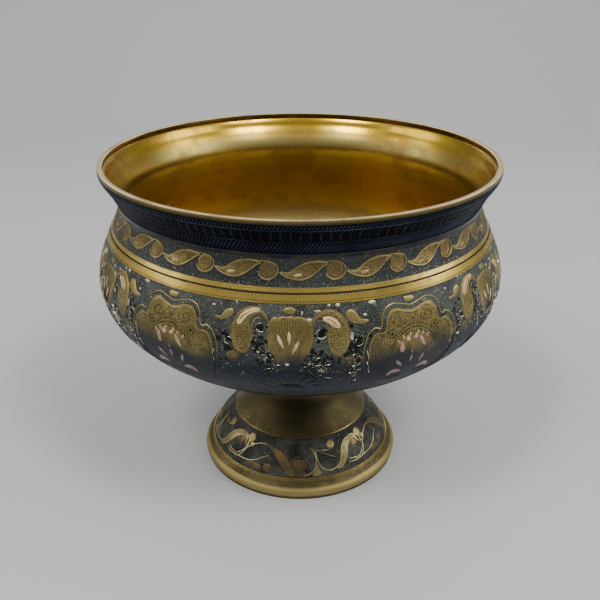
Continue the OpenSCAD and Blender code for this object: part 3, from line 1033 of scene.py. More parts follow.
# %% One leaf and its bud
BUD = (16.8, 30)
LEAF_EDGE = loop([
    (-9.8, 30.7), (-6.5, 31.0), (-4.2, 30.4), (-1.5, 28.4), (2, 26.6), (6.5, 25.6), (11, 25.7),
    (13.4, 26.5), (11, 28), (8.5, 30), (5, 32.6), (1, 34.1), (-3, 33.9), (-6.8, 32.6)])
STEM = curve([(11, 26.2), (15, 25.6), (19, 26.2), (21.6, 28.4), (21.5, 31.2), (19.4, 33.6), (16.2, 34.4),
              (13.4, 33), (12.4, 30.8)])
HOOD = curve([(-5, 31.2), (-3, 30.2), (-0.5, 29.8), (1.1, 31), (-0.1, 32.4), (-3, 32.7)])
BACK_LINE = curve([(-2, 30), (1.5, 27.9), (6, 26.9), (10.5, 26.8)])
leaves, leaf_lines, leaf_dark = Sheet(), Sheet(), Sheet()
plate(leaves, LEAF_EDGE, 0.02, low=-0.5, bevel=0.35, drop=0.14, fill=1.4)
plate(leaves, circle(*BUD, 4.0), 0.0, low=-0.5, bevel=0.35, drop=0.16, fill=1.4)
ribbon(leaf_lines, LEAF_EDGE, 0.85, -0.3, 0.13, closed=True)
ribbon(leaf_lines, STEM, 0.85, -0.4, 0.13, taper=0.3)
ribbon(leaf_lines, HOOD, 0.42, -0.1, 0.15)
for k in range(6):
    x, rise = -4.2 + 1.7 * k, 0.05 * k * k
    score(leaf_lines, [(x, 34.3 - rise), (x - 0.12, 35.0 - rise), (x - 0.1, 35.9 - 0.06 * k * k)], 0.34, 0.0,
          low=-0.4, taper=0.6)
for k in range(4):
    x = 14.6 + 1.55 * k
    score(leaf_lines, [(x, 34.4), (x - 0.1, 35.1), (x, 35.9)], 0.34, 0.0, low=-0.4, taper=0.6)
score(leaf_dark, BACK_LINE, 0.5, 0.06)
score(leaf_dark, circle(*BUD, 2.9, 22), 0.5, 0.045, closed=True)
score(leaf_dark, curve([(-8.6, 31.4), (-6.5, 32.2), (-4, 32.6)]), 0.34, 0.06)
dots(leaf_dark, LEAF_EDGE, 1.15, 0.36, 0.07, 5, holes=[(-1.8, 31.6, 2.2)])
dots(leaf_dark, circle(*BUD, 2.6), 1.05, 0.34, 0.05, 6)
print("points on one leaf:", leaves.count + leaf_lines.count + leaf_dark.count)

# %% The row of leaves
LEAF_REF = 108.0
LEAF_COUNT = 21
leaf_args = dict(face=bowl_face, slot="bowl_brass", repeats=LEAF_COUNT, ref=LEAF_REF)
wrap_sheet("shoulder_leaves", leaves, material=leaf_brass, **leaf_args)
wrap_sheet("shoulder_lines", leaf_lines, material=leaf_line_brass, **leaf_args)
wrap_sheet("shoulder_punching", leaf_dark, material=line_lac, **leaf_args)

leaf_cores = Sheet()
core = loop([(-3.0, 31.9), (-2, 31.4), (-0.4, 31.3), (0.9, 31.2), (0.8, 31.9), (-0.6, 32.3),
             (-2.2, 32.5)], 0.5)
plate(leaf_cores, core, 0.12, low=-0.5, bevel=0.2, drop=0.08, fill=1.2)
wrap_sheet("leaf_cores_rose", leaf_cores, bowl_face, rose_dim, "rose_lac", LEAF_COUNT, LEAF_REF,
           replaces=("leaf_core_inlays",))

# %% [markdown]
# ## The plain rings
#
# Below the leaves a plain ring, a black line and a milled ring part the
# shoulder from the belly. The milling is a row of fine upright nicks, rolled
# in with a wheel, so every nick is alike.

# %% Rings and milling
ring_threads("shoulder_rings", bowl_face, [(38.3, 0.7, -0.4, 0.10), (39.6, 0.5, -0.2, 0.10),
                                           (41.3, 0.4, -0.2, 0.08), (45.3, 0.6, -0.3, 0.14)],
             edge_brass, "bowl_brass")
milling, nicks = Sheet(), Sheet()
score(milling, [(0, 41.2), (0, 42.4), (0, 43.6)], 0.55, 0.05, low=-0.12, taper=0.3)
RIBS = 560
NICKS = 400
wrap_sheet("ring_milling", milling, bowl_face, edge_brass, "bowl_brass", RIBS, LEAF_REF)
score(nicks, [(0, 40.5), (0.05, 41.5), (0, 42.7)], 0.36, 0.09, taper=0.3)
wrap_sheet("ring_nicks", nicks, bowl_face, line_lac, "black_lac", NICKS, LEAF_REF)
ring_threads("ring_cut_line", bowl_face, [(44.5, 0.3, -0.2, 0.10)], line_lac, "black_lac")
print("distance between ribs:", round(2 * math.pi * LEAF_REF / RIBS, 2), "mm")

# %% [markdown]
# ## The belly
#
# Six fans and six medallions take turns round the belly. A fan stands between
# two curled drops that turn their backs on it. A medallion is a wide lobed
# shield with a double outline, a flower under a domed arch, and two tiers of
# hanging petals. Everything is laid out on one sixth of the belly, with the
# fan in the middle of the sheet and half a medallion at each side.

# %% The belly's sheet
BELLY_REF = 118.0
MOTIFS = 6
PERIOD = 2 * math.pi * BELLY_REF / MOTIFS
HALF = PERIOD / 2
FRONT_TURN = math.radians(-2.3)


def mirrored(points, down=0.0):
    """The mirror image of a line, moved down by a little as hand work is."""
    return (np.asarray(points, float) * [-1, 1] + [0, down])[::-1]


FAN = loop([
    (-5.5, 75), (-7.5, 70.5), (-10.2, 66), (-10.7, 60), (-10.3, 55), (-8.6, 52.5), (-6.9, 51.7), (-5.2, 52.0),
    (-3.4, 51.3), (-1.4, 51.7), (0.6, 51.1), (2.6, 51.6), (4.6, 51.3), (6.4, 52.0), (8.4, 52.5), (10.4, 55),
    (10.9, 60), (10.3, 66), (7.5, 70.5), (5.5, 75), (0, 76.2)], 0.8)
DROP = loop([
    (-9.8, 54.2), (-11.6, 50.9), (-15, 48.3), (-19, 47.6), (-23, 49.2), (-26, 52.6), (-27.8, 57), (-28.2, 62),
    (-27.2, 66.5), (-25, 69.8), (-22.2, 71), (-20, 69), (-18.4, 65.5), (-17.6, 61.5), (-18.2, 58.2),
    (-19.3, 55.6), (-18.6, 52.9), (-16.2, 51.4), (-13.4, 51.6), (-11.2, 53.6)], 0.8)
RIGHT_DROP = mirrored(DROP, down=0.8)
LEFT_LEAF = loop([
    (-38, 54.1), (-34, 53.2), (-32, 50.6), (-29.6, 49.6), (-27.8, 50.4), (-28.6, 52.8), (-31.4, 54.5),
    (-34.8, 55)])
RIGHT_LEAF = loop([
    (27.0, 50.4), (29.4, 49.1), (31.7, 50.4), (33.8, 53.4), (38.2, 55.2), (34.5, 56.3), (30, 55.2),
    (27.6, 53)])
print("one sixth of the belly is", round(PERIOD, 1), "mm wide, a fan", round(np.ptp(FAN[:, 0]), 1))

# %% [markdown]
# The fan is scored with ribs that meet at its foot. The drops have a bright
# line on their backs and a curl that hangs in the hook, and all are dotted.

# %% Fan, drops and small leaves
plates, bright, dark = Sheet(), Sheet(), Sheet()
for motif in (FAN, DROP, RIGHT_DROP):
    plate(plates, motif, 0.0, bevel=0.5, drop=0.18, fill=1.6, uneven=0.07)
for leaf in (LEFT_LEAF, RIGHT_LEAF):
    plate(bright, leaf, 0.02, bevel=0.4, drop=0.14)
bead = loop([(-3.4, 48.6), (-1.6, 47.2), (1.4, 47.3), (2.6, 48.6), (1.2, 49.8), (-1.8, 49.8)], 0.5)
plate(bright, bead, 0.0)
back = curve([(-14, 48.4), (-18.6, 47.5), (-22.8, 49.1), (-25.8, 52.5), (-27.7, 57), (-28.1, 61)])
hook = curve([(-14.2, 50.2), (-17, 50.7), (-19.6, 52.8), (-20.6, 55.2)])
right_back = mirrored(curve([(-11.4, 50.9), (-15, 49), (-19.2, 48.4), (-23, 50), (-26, 53.2), (-27.9, 58),
                             (-28.2, 62.5)]))
ribbon(bright, back, 0.8, -0.2, 0.12, taper=0.5)
ribbon(bright, hook, 0.45, -0.1, 0.10, taper=0.5)
ribbon(bright, right_back, 0.8, -0.2, 0.12, taper=0.5)
for k in range(-7, 8):
    foot_x, top_x = 0.55 * k, 1.42 * k
    rib = curve([(foot_x, 72.5), (0.55 * foot_x + 0.45 * top_x * 1.12, 62),
                 (top_x, 53.0 + 0.035 * k * k)], 1.2)
    score(dark, rib, 0.34, 0.05, taper=0.4)
for shape, seed in ((DROP, 7), (RIGHT_DROP, 8)):
    dots(dark, shrunk(shape, 0.86), 1.35, 0.33, 0.05, seed)
curl = curve([(-13.6, 53.0), (-15.6, 52.6), (-17.4, 54.2), (-18.1, 57), (-17.2, 60.5)])
for line in (curl, mirrored(curl, down=0.8)):
    ribbon(bright, line, 0.4, -0.5, -0.05, taper=0.5)
for leaf in (LEFT_LEAF, RIGHT_LEAF):
    score(dark, shrunk(leaf, 0.55), 0.3, 0.06, closed=True)
print("points so far: flat", plates.count, "bright", bright.count, "scored", dark.count)

# %% [markdown]
# Under each fan half a lotus opens downwards, low on the belly where the
# painted shade nearly hides it. Nine petals stand round an eye, inside two rings.

# %% Round buds and the lotus under the fan
for x, s in ((-27, 73), (28, 75)):
    plate(plates, circle(x, s, 3.3), -0.03, bevel=0.4, drop=0.16)
    score(dark, circle(x, s, 2.1, 20), 0.3, 0.02, closed=True)
EYE = np.array([0, 98])
PETAL = [(8.2, -0.4), (11.5, -2.0), (15.2, -1.1), (16.6, 0), (15.2, 1.1), (11.5, 2.0), (8.2, 0.4)]
ribbon(bright, arc(*EYE, 20.5, 196, 344, 0.9), 0.7, -0.6, 0.02, taper=0.3)
ribbon(bright, arc(*EYE, 17.5, 194, 346, 0.9), 0.6, -0.6, 0.0, taper=0.3)
for k in range(-4, 5):
    middle = math.radians(270 + 17 * k)
    root = np.array([math.cos(middle), math.sin(middle)])
    side = np.array([-root[1], root[0]])
    petal = loop([EYE + root * a + side * b for a, b in PETAL], 0.8)
    plate(plates, petal, -0.08, bevel=0.35, drop=0.10, fill=1.6)
plate(plates, circle(*EYE, 5.8, 32), -0.06, bevel=0.4, drop=0.10, fill=1.8)
ribbon(bright, circle(*EYE, 7.1, 36), 0.5, -0.6, 0.0, closed=True)
score(dark, circle(*EYE, 3.4, 24), 0.4, 0.04, closed=True)
print("points so far: flat", plates.count, "bright", bright.count, "scored", dark.count)

# %% [markdown]
# The medallion is drawn as its left half and mirrored. Its inner outline
# bounds the brass, and its outer one is a thread that stands in the lac.

# %% The medallion
OUTER_LEFT = [(0, 51.3), (-4.5, 50.2), (-9.5, 49.1), (-13.8, 50.4), (-16.4, 54), (-17.1, 58), (-18.2, 60),
              (-20.8, 59.3), (-24.4, 62), (-26.6, 68), (-27, 76), (-26, 85), (-22.5, 94), (-16, 102.5),
              (-7.5, 108.5), (0, 111.3)]
INNER_LEFT = [(0, 53.9), (-4.8, 52.8), (-9.5, 51.7), (-12.6, 52.9), (-14.3, 56), (-14.9, 60), (-16.6, 62.4),
              (-20, 62.0), (-22.6, 64.4), (-24.2, 69), (-24.5, 76), (-23.6, 84), (-20.4, 92.4), (-14.4, 100),
              (-6.8, 105.6), (0, 108)]


def both_sides(left, step):
    """A closed outline from its left half, which runs from the top to the bottom."""
    right = [(-x, s) for x, s in left[1:-1]][::-1]
    return loop(left + right, step) + [HALF, 0]


def at_medallion(points):
    """Points of the medallion, moved from the middle of the sheet to its edge."""
    return np.asarray(points, float) + [HALF, 0]


MEDALLION = both_sides(INNER_LEFT, 0.9)
print("medallion", [round(v, 1) for v in np.ptp(MEDALLION, axis=0)], "mm wide and high")

# %% What fills the medallion
EYE_R = 2.0
plate(plates, MEDALLION, 0.0, bevel=0.5, drop=0.16, fill=1.8, uneven=0.08)
ribbon(bright, both_sides(OUTER_LEFT, 0.9), 0.6, -0.6, 0.03, closed=True)
ribbon(bright, MEDALLION, 0.5, -0.2, 0.07, closed=True)
score(dark, HALF * np.array([1, 0]) + (MEDALLION - [HALF, 80]) * [0.93, 0.94] + [0, 80], 0.34, 0.05,
      closed=True)
block = loop([(-3.5, 47.4), (-2.6, 46.9), (0.6, 47.0), (2, 47.5), (1.9, 48.9), (-0.6, 49.5),
              (-3.3, 49.2)], 0.5)
plate(bright, at_medallion(block), 0.04)
for bend, wide in ((-1.9, 0.5), (0, 0.7), (1.9, 0.55)):
    dome = curve([(-13, 72 + bend), (-9, 66.4 + bend), (-4, 63.2 + bend), (0, 62.4 + bend),
                  (4, 63.2 + bend), (9, 66.4 + bend), (13, 72 + bend)], 0.8)
    score(dark, at_medallion(dome), wide, 0.05)
for side in (-1, 1):
    spiral = []
    for k in range(11):
        across, down = 4.2 - 0.34 * k, (4.0 - 0.33 * k) * math.sin(0.75 * k) * 0.85
        spiral.append((side * (8.4 - across * math.cos(0.75 * k)), 57.6 + down))
    vein = curve([(side * 15.5, 64.5), (side * 19.5, 63.6), (side * 22.3, 67), (side * 22.6, 74)])
    score(dark, at_medallion(curve(spiral)), 0.6, 0.06)
    score(dark, at_medallion(circle(side * 12.2, 63.8, EYE_R, 16)), 0.6, 0.06, closed=True)
    plate(dark, at_medallion(circle(side * 12.2, 63.8, 0.4 * EYE_R, 9)), 0.06, low=-0.1, bevel=0.2, drop=0.03)
    score(dark, at_medallion(vein), 0.34, 0.05)
    for k in range(9):
        s = 67 + 3.4 * k
        x = 22.6 - 0.012 * (s - 74) ** 2 * (s > 74)
        barb = [(side * x, s), (side * (x - 2.6), s + 1.3), (side * (x - 5), s + 3.4)]
        score(dark, at_medallion(barb), 0.3, 0.045, taper=0.5)
    stem = curve([(side * 2.2, 90), (side * 5.5, 93.5), (side * 10, 94), (side * 13.5, 90.5),
                  (side * 12, 87)])
    ribbon(bright, at_medallion(stem), 0.5, -0.2, 0.06, taper=0.4)
sprout = curve([(-2.8, 54.6), (-1.2, 56.4), (0, 59.6), (1.2, 56.4), (2.8, 54.6)])
score(dark, at_medallion(sprout), 0.5, 0.05)
dots(dark, shrunk(both_sides(INNER_LEFT, 1.6), 0.92), 1.5, 0.36, 0.05, 9, holes=[(HALF, 78, 13)])
belly_args = dict(face=bowl_face, slot="bowl_brass", repeats=MOTIFS, ref=BELLY_REF, turn=FRONT_TURN)
wrap_sheet("belly_plates", plates, material=motif_brass, **belly_args)
wrap_sheet("belly_lines", bright, material=line_brass, **belly_args)
wrap_sheet("belly_engraving", dark, material=line_lac, **{**belly_args, "slot": "black_lac"})

# %% [markdown]
# The rose pieces are small: three slim petals in each fan, a crescent on each
# drop's back, and in the medallion a broken arch of flames over two tiers of
# petals. They are set flush and rubbed, so they stand a hair above the brass.

# %% Rose inlays of the belly
def lens(a, b, wide):
    """A slim petal from a to b, widest a little before its middle."""
    a, b = np.array(a, float), np.array(b, float)
    way = (b - a) / np.hypot(*(b - a))
    side = np.array([-way[1], way[0]])
    spots = [(0, 0), (0.25, 0.42), (0.45, 0.5), (0.75, 0.3), (1, 0), (0.75, -0.3), (0.45, -0.5),
             (0.25, -0.42)]
    return loop([a + (b - a) * t + side * wide * k for t, k in spots])


def inlay(sheet, outline, high=0.10, bevel=0.25, drop=0.08):
    """A small plate that is rooted less deep, in the brass of a motif."""
    plate(sheet, outline, high, low=-0.4, bevel=bevel, drop=drop)


fan_petals, crescents, flames = Sheet(), Sheet(), Sheet()
for a, b, wide in (((-6, 60), (-2.9, 66.8), 1.55), ((-0.5, 58.3), (-0.2, 65), 1.6),
                   ((4.2, 62.8), (1, 69.8), 1.5)):
    inlay(fan_petals, lens(a, b, wide))
inlay(crescents, loop([
    (-14.6, 47.9), (-18.5, 48.2), (-22, 49.8), (-24.6, 52.6), (-25.5, 55.7), (-23.9, 56.2), (-22.2, 54),
    (-20.2, 51.7), (-17.3, 50.2), (-15, 49.6)]), 0.14, bevel=0.3)
inlay(crescents, loop([
    (15.8, 51.9), (19, 51.6), (22.2, 53.4), (24, 56.4), (23, 57.5), (20.4, 56.6), (18, 54.5), (16, 53.3)]),
    bevel=0.3)
for outline in (
        [(-7.4, 68.2), (-6.2, 69.6), (-5.4, 72), (-5.6, 74.4), (-7, 74.9), (-8.2, 73.4), (-8.2, 70.4)],
        [(2.6, 67.6), (4.6, 68.6), (6, 71.2), (7.2, 73.6), (6.4, 74.2), (4.8, 72.6), (3.2, 70.2)],
        [(-5, 67.6), (-4, 66.0), (-2.8, 66.6), (-2, 68.2), (-3.2, 69.2), (-4.6, 68.8)],
        [(-1, 68.0), (0.2, 66.9), (1.4, 65.9), (2.2, 67.4), (1, 68.6)]):
    flame = loop(shrunk(np.array(outline), [0.82, 0.92]), 0.5)
    inlay(flames, at_medallion(flame), 0.12, bevel=0.2)
for x, s in ((-9.6, 67.2), (-6.6, 65.4), (-2.6, 64.6), (2.4, 64.4), (5.2, 65.6), (8.6, 67.0)):
    inlay(flames, at_medallion(lens((x, s), (x - 0.16 * x, s + 2.4), 0.9)), bevel=0.2, drop=0.06)
for a, b, wide in (((-9.4, 79.2), (-5.0, 84.4), 2.1), ((-0.7, 77.5), (-0.8, 82.6), 1.6),
                   ((6.6, 78.6), (4.8, 84.6), 1.9), ((-1, 74.6), (-0.8, 76.8), 0.8)):
    inlay(flames, at_medallion(lens(a, b, 0.85 * wide)))
low_petal = np.array([(4.6, 88.4), (7, 86.2), (10, 85.8), (12.6, 88), (12, 90.4), (9.6, 88.9), (6.6, 88.9)])
for side in (-1, 1):
    inlay(flames, at_medallion(loop(low_petal * [side, 1])), bevel=0.3)
rose_args = dict(face=bowl_face, slot="rose_lac", repeats=MOTIFS, ref=BELLY_REF, turn=FRONT_TURN)
wrap_sheet("fan_petals_rose", fan_petals, material=rose_cream, replaces=("fan_petal_inlays",), **rose_args)
wrap_sheet("drop_crescents_rose", crescents, material=rose_cream, replaces=("paisley_core_inlays",),
           **rose_args)
wrap_sheet("medallion_rose", flames, material=rose_lac, replaces=("medallion_petal_inlays",), **rose_args)
marks = Sheet()
for line, wide, high in (([(-24.5, 55.0), (-23.6, 53.2), (-22.0, 51.5), (-20.4, 50.5)], 0.75, 0.19),
                         ([(17.8, 52.9), (19.8, 53.5), (21.6, 55.0), (22.6, 56.4)], 0.65, 0.15)):
    ribbon(marks, curve(line, 0.5), wide, 0.0, high, taper=0.7)
wrap_sheet("crescent_marks", marks, material=leaf_brass, **{**rose_args, "slot": "bowl_brass"})

# %% [markdown]
# ## The foot
#
# A vine winds round the foot in four long waves. Flat leaves leave it to both
# sides, and round buds sit in its loops. Below it come a ridge, a milled band
# and the bright corner of the base.

# %% Vine on the foot
FOOT_REF = 52.0
VINE_WAVES = 4
vine_plates, vine_lines, vine_dark, vine_old = Sheet(), Sheet(), Sheet(), Sheet()
DOWN_LEAF = loop([
    (-22, 6), (-16.6, 6.2), (-11, 8.6), (-7.4, 13.2), (-4.9, 18.2), (-2.6, 22.9), (-7.0, 22.6), (-10.2, 18.8),
    (-13.8, 14.0), (-18, 9)])
UP_LEAF = loop([
    (22, 20.8), (25, 17), (27, 12), (29, 8.4), (32, 5.8), (36, 4.6), (40, 4.4), (42.6, 6.2), (37.5, 7.2),
    (33.8, 9.4), (31.6, 13), (29, 17.6), (25, 21)])
plate(vine_old, DOWN_LEAF, 0.0, bevel=0.35, drop=0.14, fill=1.4, uneven=0.07)
plate(vine_plates, UP_LEAF, 0.04, bevel=0.35, drop=0.14)
for x, y, r, sheet in ((-0.2, 16.6, 4.0, vine_old), (21, 5.2, 3.0, vine_plates), (-19.3, 20.2, 2.7, vine_old),
                       (-36.2, 5.2, 3.2, vine_plates), (38.8, 9.4, 2.9, vine_old)):
    plate(sheet, circle(x, y, r, 24), 0.02, bevel=0.35, drop=0.16, fill=1.4)
    if sheet is vine_old and x > -10:
        score(vine_dark, arc(x + 0.2, y, 0.6 * r, -60, 240, 0.5), 0.42, 0.07, taper=0.5)
for outline in (
        [(-33.4, 20.4), (-29, 19.4), (-24, 20), (-23.4, 22), (-28, 22.4)],
        [(-35.2, 9.2), (-34.4, 7.6), (-32.6, 7.6), (-32.0, 9.6), (-33.6, 11.2)],
        [(9.7, 15), (8.3, 19), (7.2, 22.5), (9.6, 23.0), (12, 22.5), (11, 19)],
        [(5.4, 4.8), (8.4, 5.6), (11, 8.0), (9.4, 9.4), (7, 7.6)],
        [(-7.4, 16.0), (-5.6, 15.4), (-4.9, 18.4), (-2.6, 21), (0.4, 21.6), (3, 20.8), (3.4, 22.2), (0, 23.4),
         (-4, 23.2), (-6.6, 20.6)],
        [(-41.8, 6.0), (-39.2, 6.2), (-38.4, 9.2), (-37.4, 12.6), (-39.6, 10.2)]):
    sheet = vine_old if outline[0] in ((-33.4, 20.4), (5.4, 4.8), (-7.4, 16.0)) else vine_plates
    plate(sheet, loop(outline, 0.5), 0.02, fill=1.2)
for line, wide in (
        ([(-46, 19.4), (-42.5, 18.9), (-39.6, 16.6), (-37, 13.4), (-33.2, 9.4), (-29, 7), (-25, 6),
          (-21, 6.6)], 1.0),
        ([(-46, 20.2), (-40, 19.9), (-33, 19.3), (-28, 17.6), (-24, 14.8), (-20, 12.4)], 0.8),
        ([(-37, 12.6), (-36.8, 9), (-36.4, 6)], 0.9),
        ([(2, 23), (6, 21.5), (9, 18), (9.9, 13), (8.6, 8), (5.6, 5.4)], 0.85),
        ([(10, 9), (10.6, 13), (12.6, 18.2), (16, 20.9), (20, 21), (24, 18.6), (27, 14)], 0.9),
        ([(10.4, 7.2), (15, 8.3), (19, 8.4), (22, 7.4)], 0.8),
        ([(12, 8.2), (17, 10.9), (22.4, 13.8)], 0.6),
        ([(43.4, 6), (45.2, 10.8), (44, 16), (41, 19.8), (36, 20.6), (30, 19.8)], 0.9),
        ([(31, 17.8), (34, 18.6), (37.4, 19.0)], 0.8)):
    ribbon(vine_lines, curve(line), wide, -0.6, 0.08, taper=0.35)
ribbon(vine_old, arc(-0.2, 16.6, 5.4, 190, 350, 0.6), 0.7, -0.6, 0.06, taper=0.4)
ribbon(vine_lines, arc(38.8, 9.2, 3.5, 60, 330, 0.5), 0.7, -0.6, 0.12, taper=0.4)
ribbon(vine_old, DOWN_LEAF, 0.5, -0.2, 0.08, closed=True)
ribbon(vine_lines, UP_LEAF, 0.55, -0.2, 0.12, closed=True)
score(vine_dark, curve([(-19, 7.6), (-13.4, 10.4), (-9.4, 15.2), (-5.8, 20.6)]), 0.32, 0.06)
score(vine_dark, curve([(25.6, 18.6), (28.6, 13.4), (31.4, 8.6), (36.4, 6.2)]), 0.6, 0.10)
foot_args = dict(face=foot_face, slot="foot_brass", repeats=VINE_WAVES, ref=FOOT_REF)
wrap_sheet("vine_plates", vine_plates, material=vine_brass, **foot_args)
wrap_sheet("vine_old_leaves", vine_old, material=vine_brown, **foot_args)
wrap_sheet("vine_lines", vine_lines, material=vine_bright, **foot_args)
wrap_sheet("vine_engraving", vine_dark, material=line_lac, **{**foot_args, "slot": "black_lac"})
ring_threads("foot_rings", foot_face, [(-0.8, 0.4, -0.3, 0.06), (24.6, 0.75, -0.3, 0.18),
                                       (25.8, 0.35, -0.2, 0.06), (30.2, 0.5, -0.3, 0.14)],
             edge_brass, "foot_brass", 300)
FOOT_NICKS = 330
ticks = Sheet()
score(ticks, [(0, 26.4), (0.06, 28), (0, 29.7)], 0.5, 0.05, taper=0.3)
wrap_sheet("foot_milling", ticks, foot_face, line_lac, "black_lac", FOOT_NICKS, FOOT_REF)

# %% [markdown]
# ## Under the foot
#
# A stud, a washer and a nut hold the two castings together. They are never
# seen when the bowl stands, but they are what keeps it from being one piece,
# so they are made with a real thread and chamfers.

# %% Stud, washer and nut
PITCH = 1.25
THREAD_DEPTH = 0.62
stud_low, stud_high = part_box("foot_stud")
washer_low, washer_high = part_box("foot_washer")
nut_low, nut_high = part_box("foot_nut")
STUD_R = stud_high.x / MM


def threaded_stud(radius, low, high, steps=40):
    """A stud with a helical thread cut into it and a chamfer at each end."""
    rows = int((high - low) / PITCH * 8) + 1
    turn, z = np.meshgrid(full_turn(steps), np.linspace(low, high, rows))
    phase = (z - low) / PITCH - turn / (2 * math.pi)
    cut = np.abs((phase % 1) - 0.5) * 2
    ends = np.clip(np.minimum(z - low, high - z) / 1.0, 0, 1)
    r = radius - THREAD_DEPTH * np.clip(1.2 * cut - 0.1, 0, 1) - 0.7 * (1 - ends)
    points = np.concatenate([spun(r, z, turn).reshape(-1, 3), [[0, 0, low], [0, 0, high]]])
    faces = grid_faces(rows, steps, closed=False)
    n = rows * steps
    for j in range(steps):
        k = (j + 1) % steps
        faces += [(k, j, n), (n - steps + j, n - steps + k, n + 1)]
    return points * MM, faces


def hex_nut(across, low, high, bore, steps=72):
    """A six-sided nut whose corners are turned off at both ends."""
    turn = full_turn(steps)
    flat = across / 2 / np.cos((turn + math.pi / 6) % (math.pi / 3) - math.pi / 6)
    cone = across / 2 * 1.01
    rows = [(bore, low), (cone, low), (np.minimum(flat, across), low + 0.9),
            (np.minimum(flat, across), high - 0.9), (cone, high), (bore, high),
            (bore - 0.35, high - 0.6), (bore - 0.35, low + 0.6)]
    return np.concatenate([spun(r, z, turn) for r, z in rows]) * MM, grid_faces(len(rows), steps)


make_object("stud_threaded", threaded_stud(STUD_R, stud_low.z / MM, stud_high.z / MM), steel,
            "fastener_steel", replaces=("foot_stud",), sharp=30)
r, low, high = washer_high.x / MM, washer_low.z / MM, washer_high.z / MM
outline = [(STUD_R + 0.3, low + 0.15), (STUD_R + 0.5, low), (r - 0.4, low), (r, low + 0.3), (r, high - 0.15),
           (r - 0.2, high), (STUD_R + 0.5, high), (STUD_R + 0.3, high - 0.15)]
make_object("washer", lathe(outline, 72), steel, "fastener_steel", replaces=("foot_washer",), sharp=30)
flats = min(nut_high.x - nut_low.x, nut_high.y - nut_low.y) / MM
make_object("nut_chamfered", hex_nut(flats, nut_low.z / MM, nut_high.z / MM, STUD_R), steel,
            "fastener_steel", replaces=("foot_nut",), sharp=25)

# %% [markdown]
# ## Wear
#
# Where the lac has broken out, the punched metal under it shows as a crackle
# of bright crumbs round black holes. The crumbs and holes are small pieces of
# their own, scattered by a seeded draw: thickest in the corners between the
# motifs, and thin everywhere else.

# %% Crumbs of bare brass and black holes
def keep_clear(spots, gap):
    """Drops the spots that lie in or near any of the motifs."""
    keep = np.ones(len(spots), bool)
    for outline in ISLANDS:
        keep &= ~inside(spots, outline) & (clear_of(spots, outline) > gap)
    return spots[keep]


def squiggle(rng, x, s, length):
    """A short bent line, as the torn edge of a flake of lac leaves."""
    way = rng.uniform(0, 2 * math.pi)
    points = [(x, s)]
    for _ in range(3):
        way += rng.uniform(-1.5, 1.5)
        x, s = x + math.cos(way) * length / 3, s + math.sin(way) * length / 3
        points.append((x, s))
    return resample(np.array(points), 0.45)


ROOT = -0.5
ISLANDS = [FAN, DROP, RIGHT_DROP, MEDALLION, MEDALLION - [PERIOD, 0]]
ZONES = [  # x, s, spread across, spread down, crumbs
    (-14, 67, 3.4, 8, 26), (14, 76, 6.0, 6, 74), (31, 74, 3.2, 11, 52), (-32, 69, 3.0, 8, 16),
    (-13.5, 57, 2.2, 2.2, 6), (14.5, 60, 2.2, 3, 8), (-9, 73, 3, 4, 10), (33, 64, 2.5, 3, 10)]
TORN_EDGES = [
    [(36.2, 69.6), (37.0, 72.2), (37.3, 75.0)], [(36.9, 76.0), (37.2, 78.6)],
    [(37.6, 79.6), (37.9, 81.8), (38.8, 84.0)], [(-36.6, 70.4), (-37.4, 73.4)],
    [(-37.2, 75.2), (-37.5, 78.0)]]
BLISTERS = [(-13.8, 57, 2.2), (14.8, 59.6, 2.4), (-29.4, 64.8, 1.9), (32.6, 65, 2.0)]  # x, s, radius
CHIPS = [  # x, s, half width, half height
    (29.3, 61.8, 0.8, 2.0), (18.8, 46.4, 0.9, 0.5), (23.2, 46.5, 1.2, 0.8), (5.6, 49.9, 0.5, 1.0),
    (9.0, 53.0, 1.3, 0.8), (13.2, 49.0, 1.5, 0.6), (-1.2, 75.4, 1.0, 0.7), (-38.4, 48.8, 0.8, 0.4),
    (-14.8, 69.2, 0.8, 0.5), (-26.5, 45.9, 0.5, 1.1), (36.5, 52.2, 0.9, 0.5), (40.5, 46.8, 2.0, 0.7)]


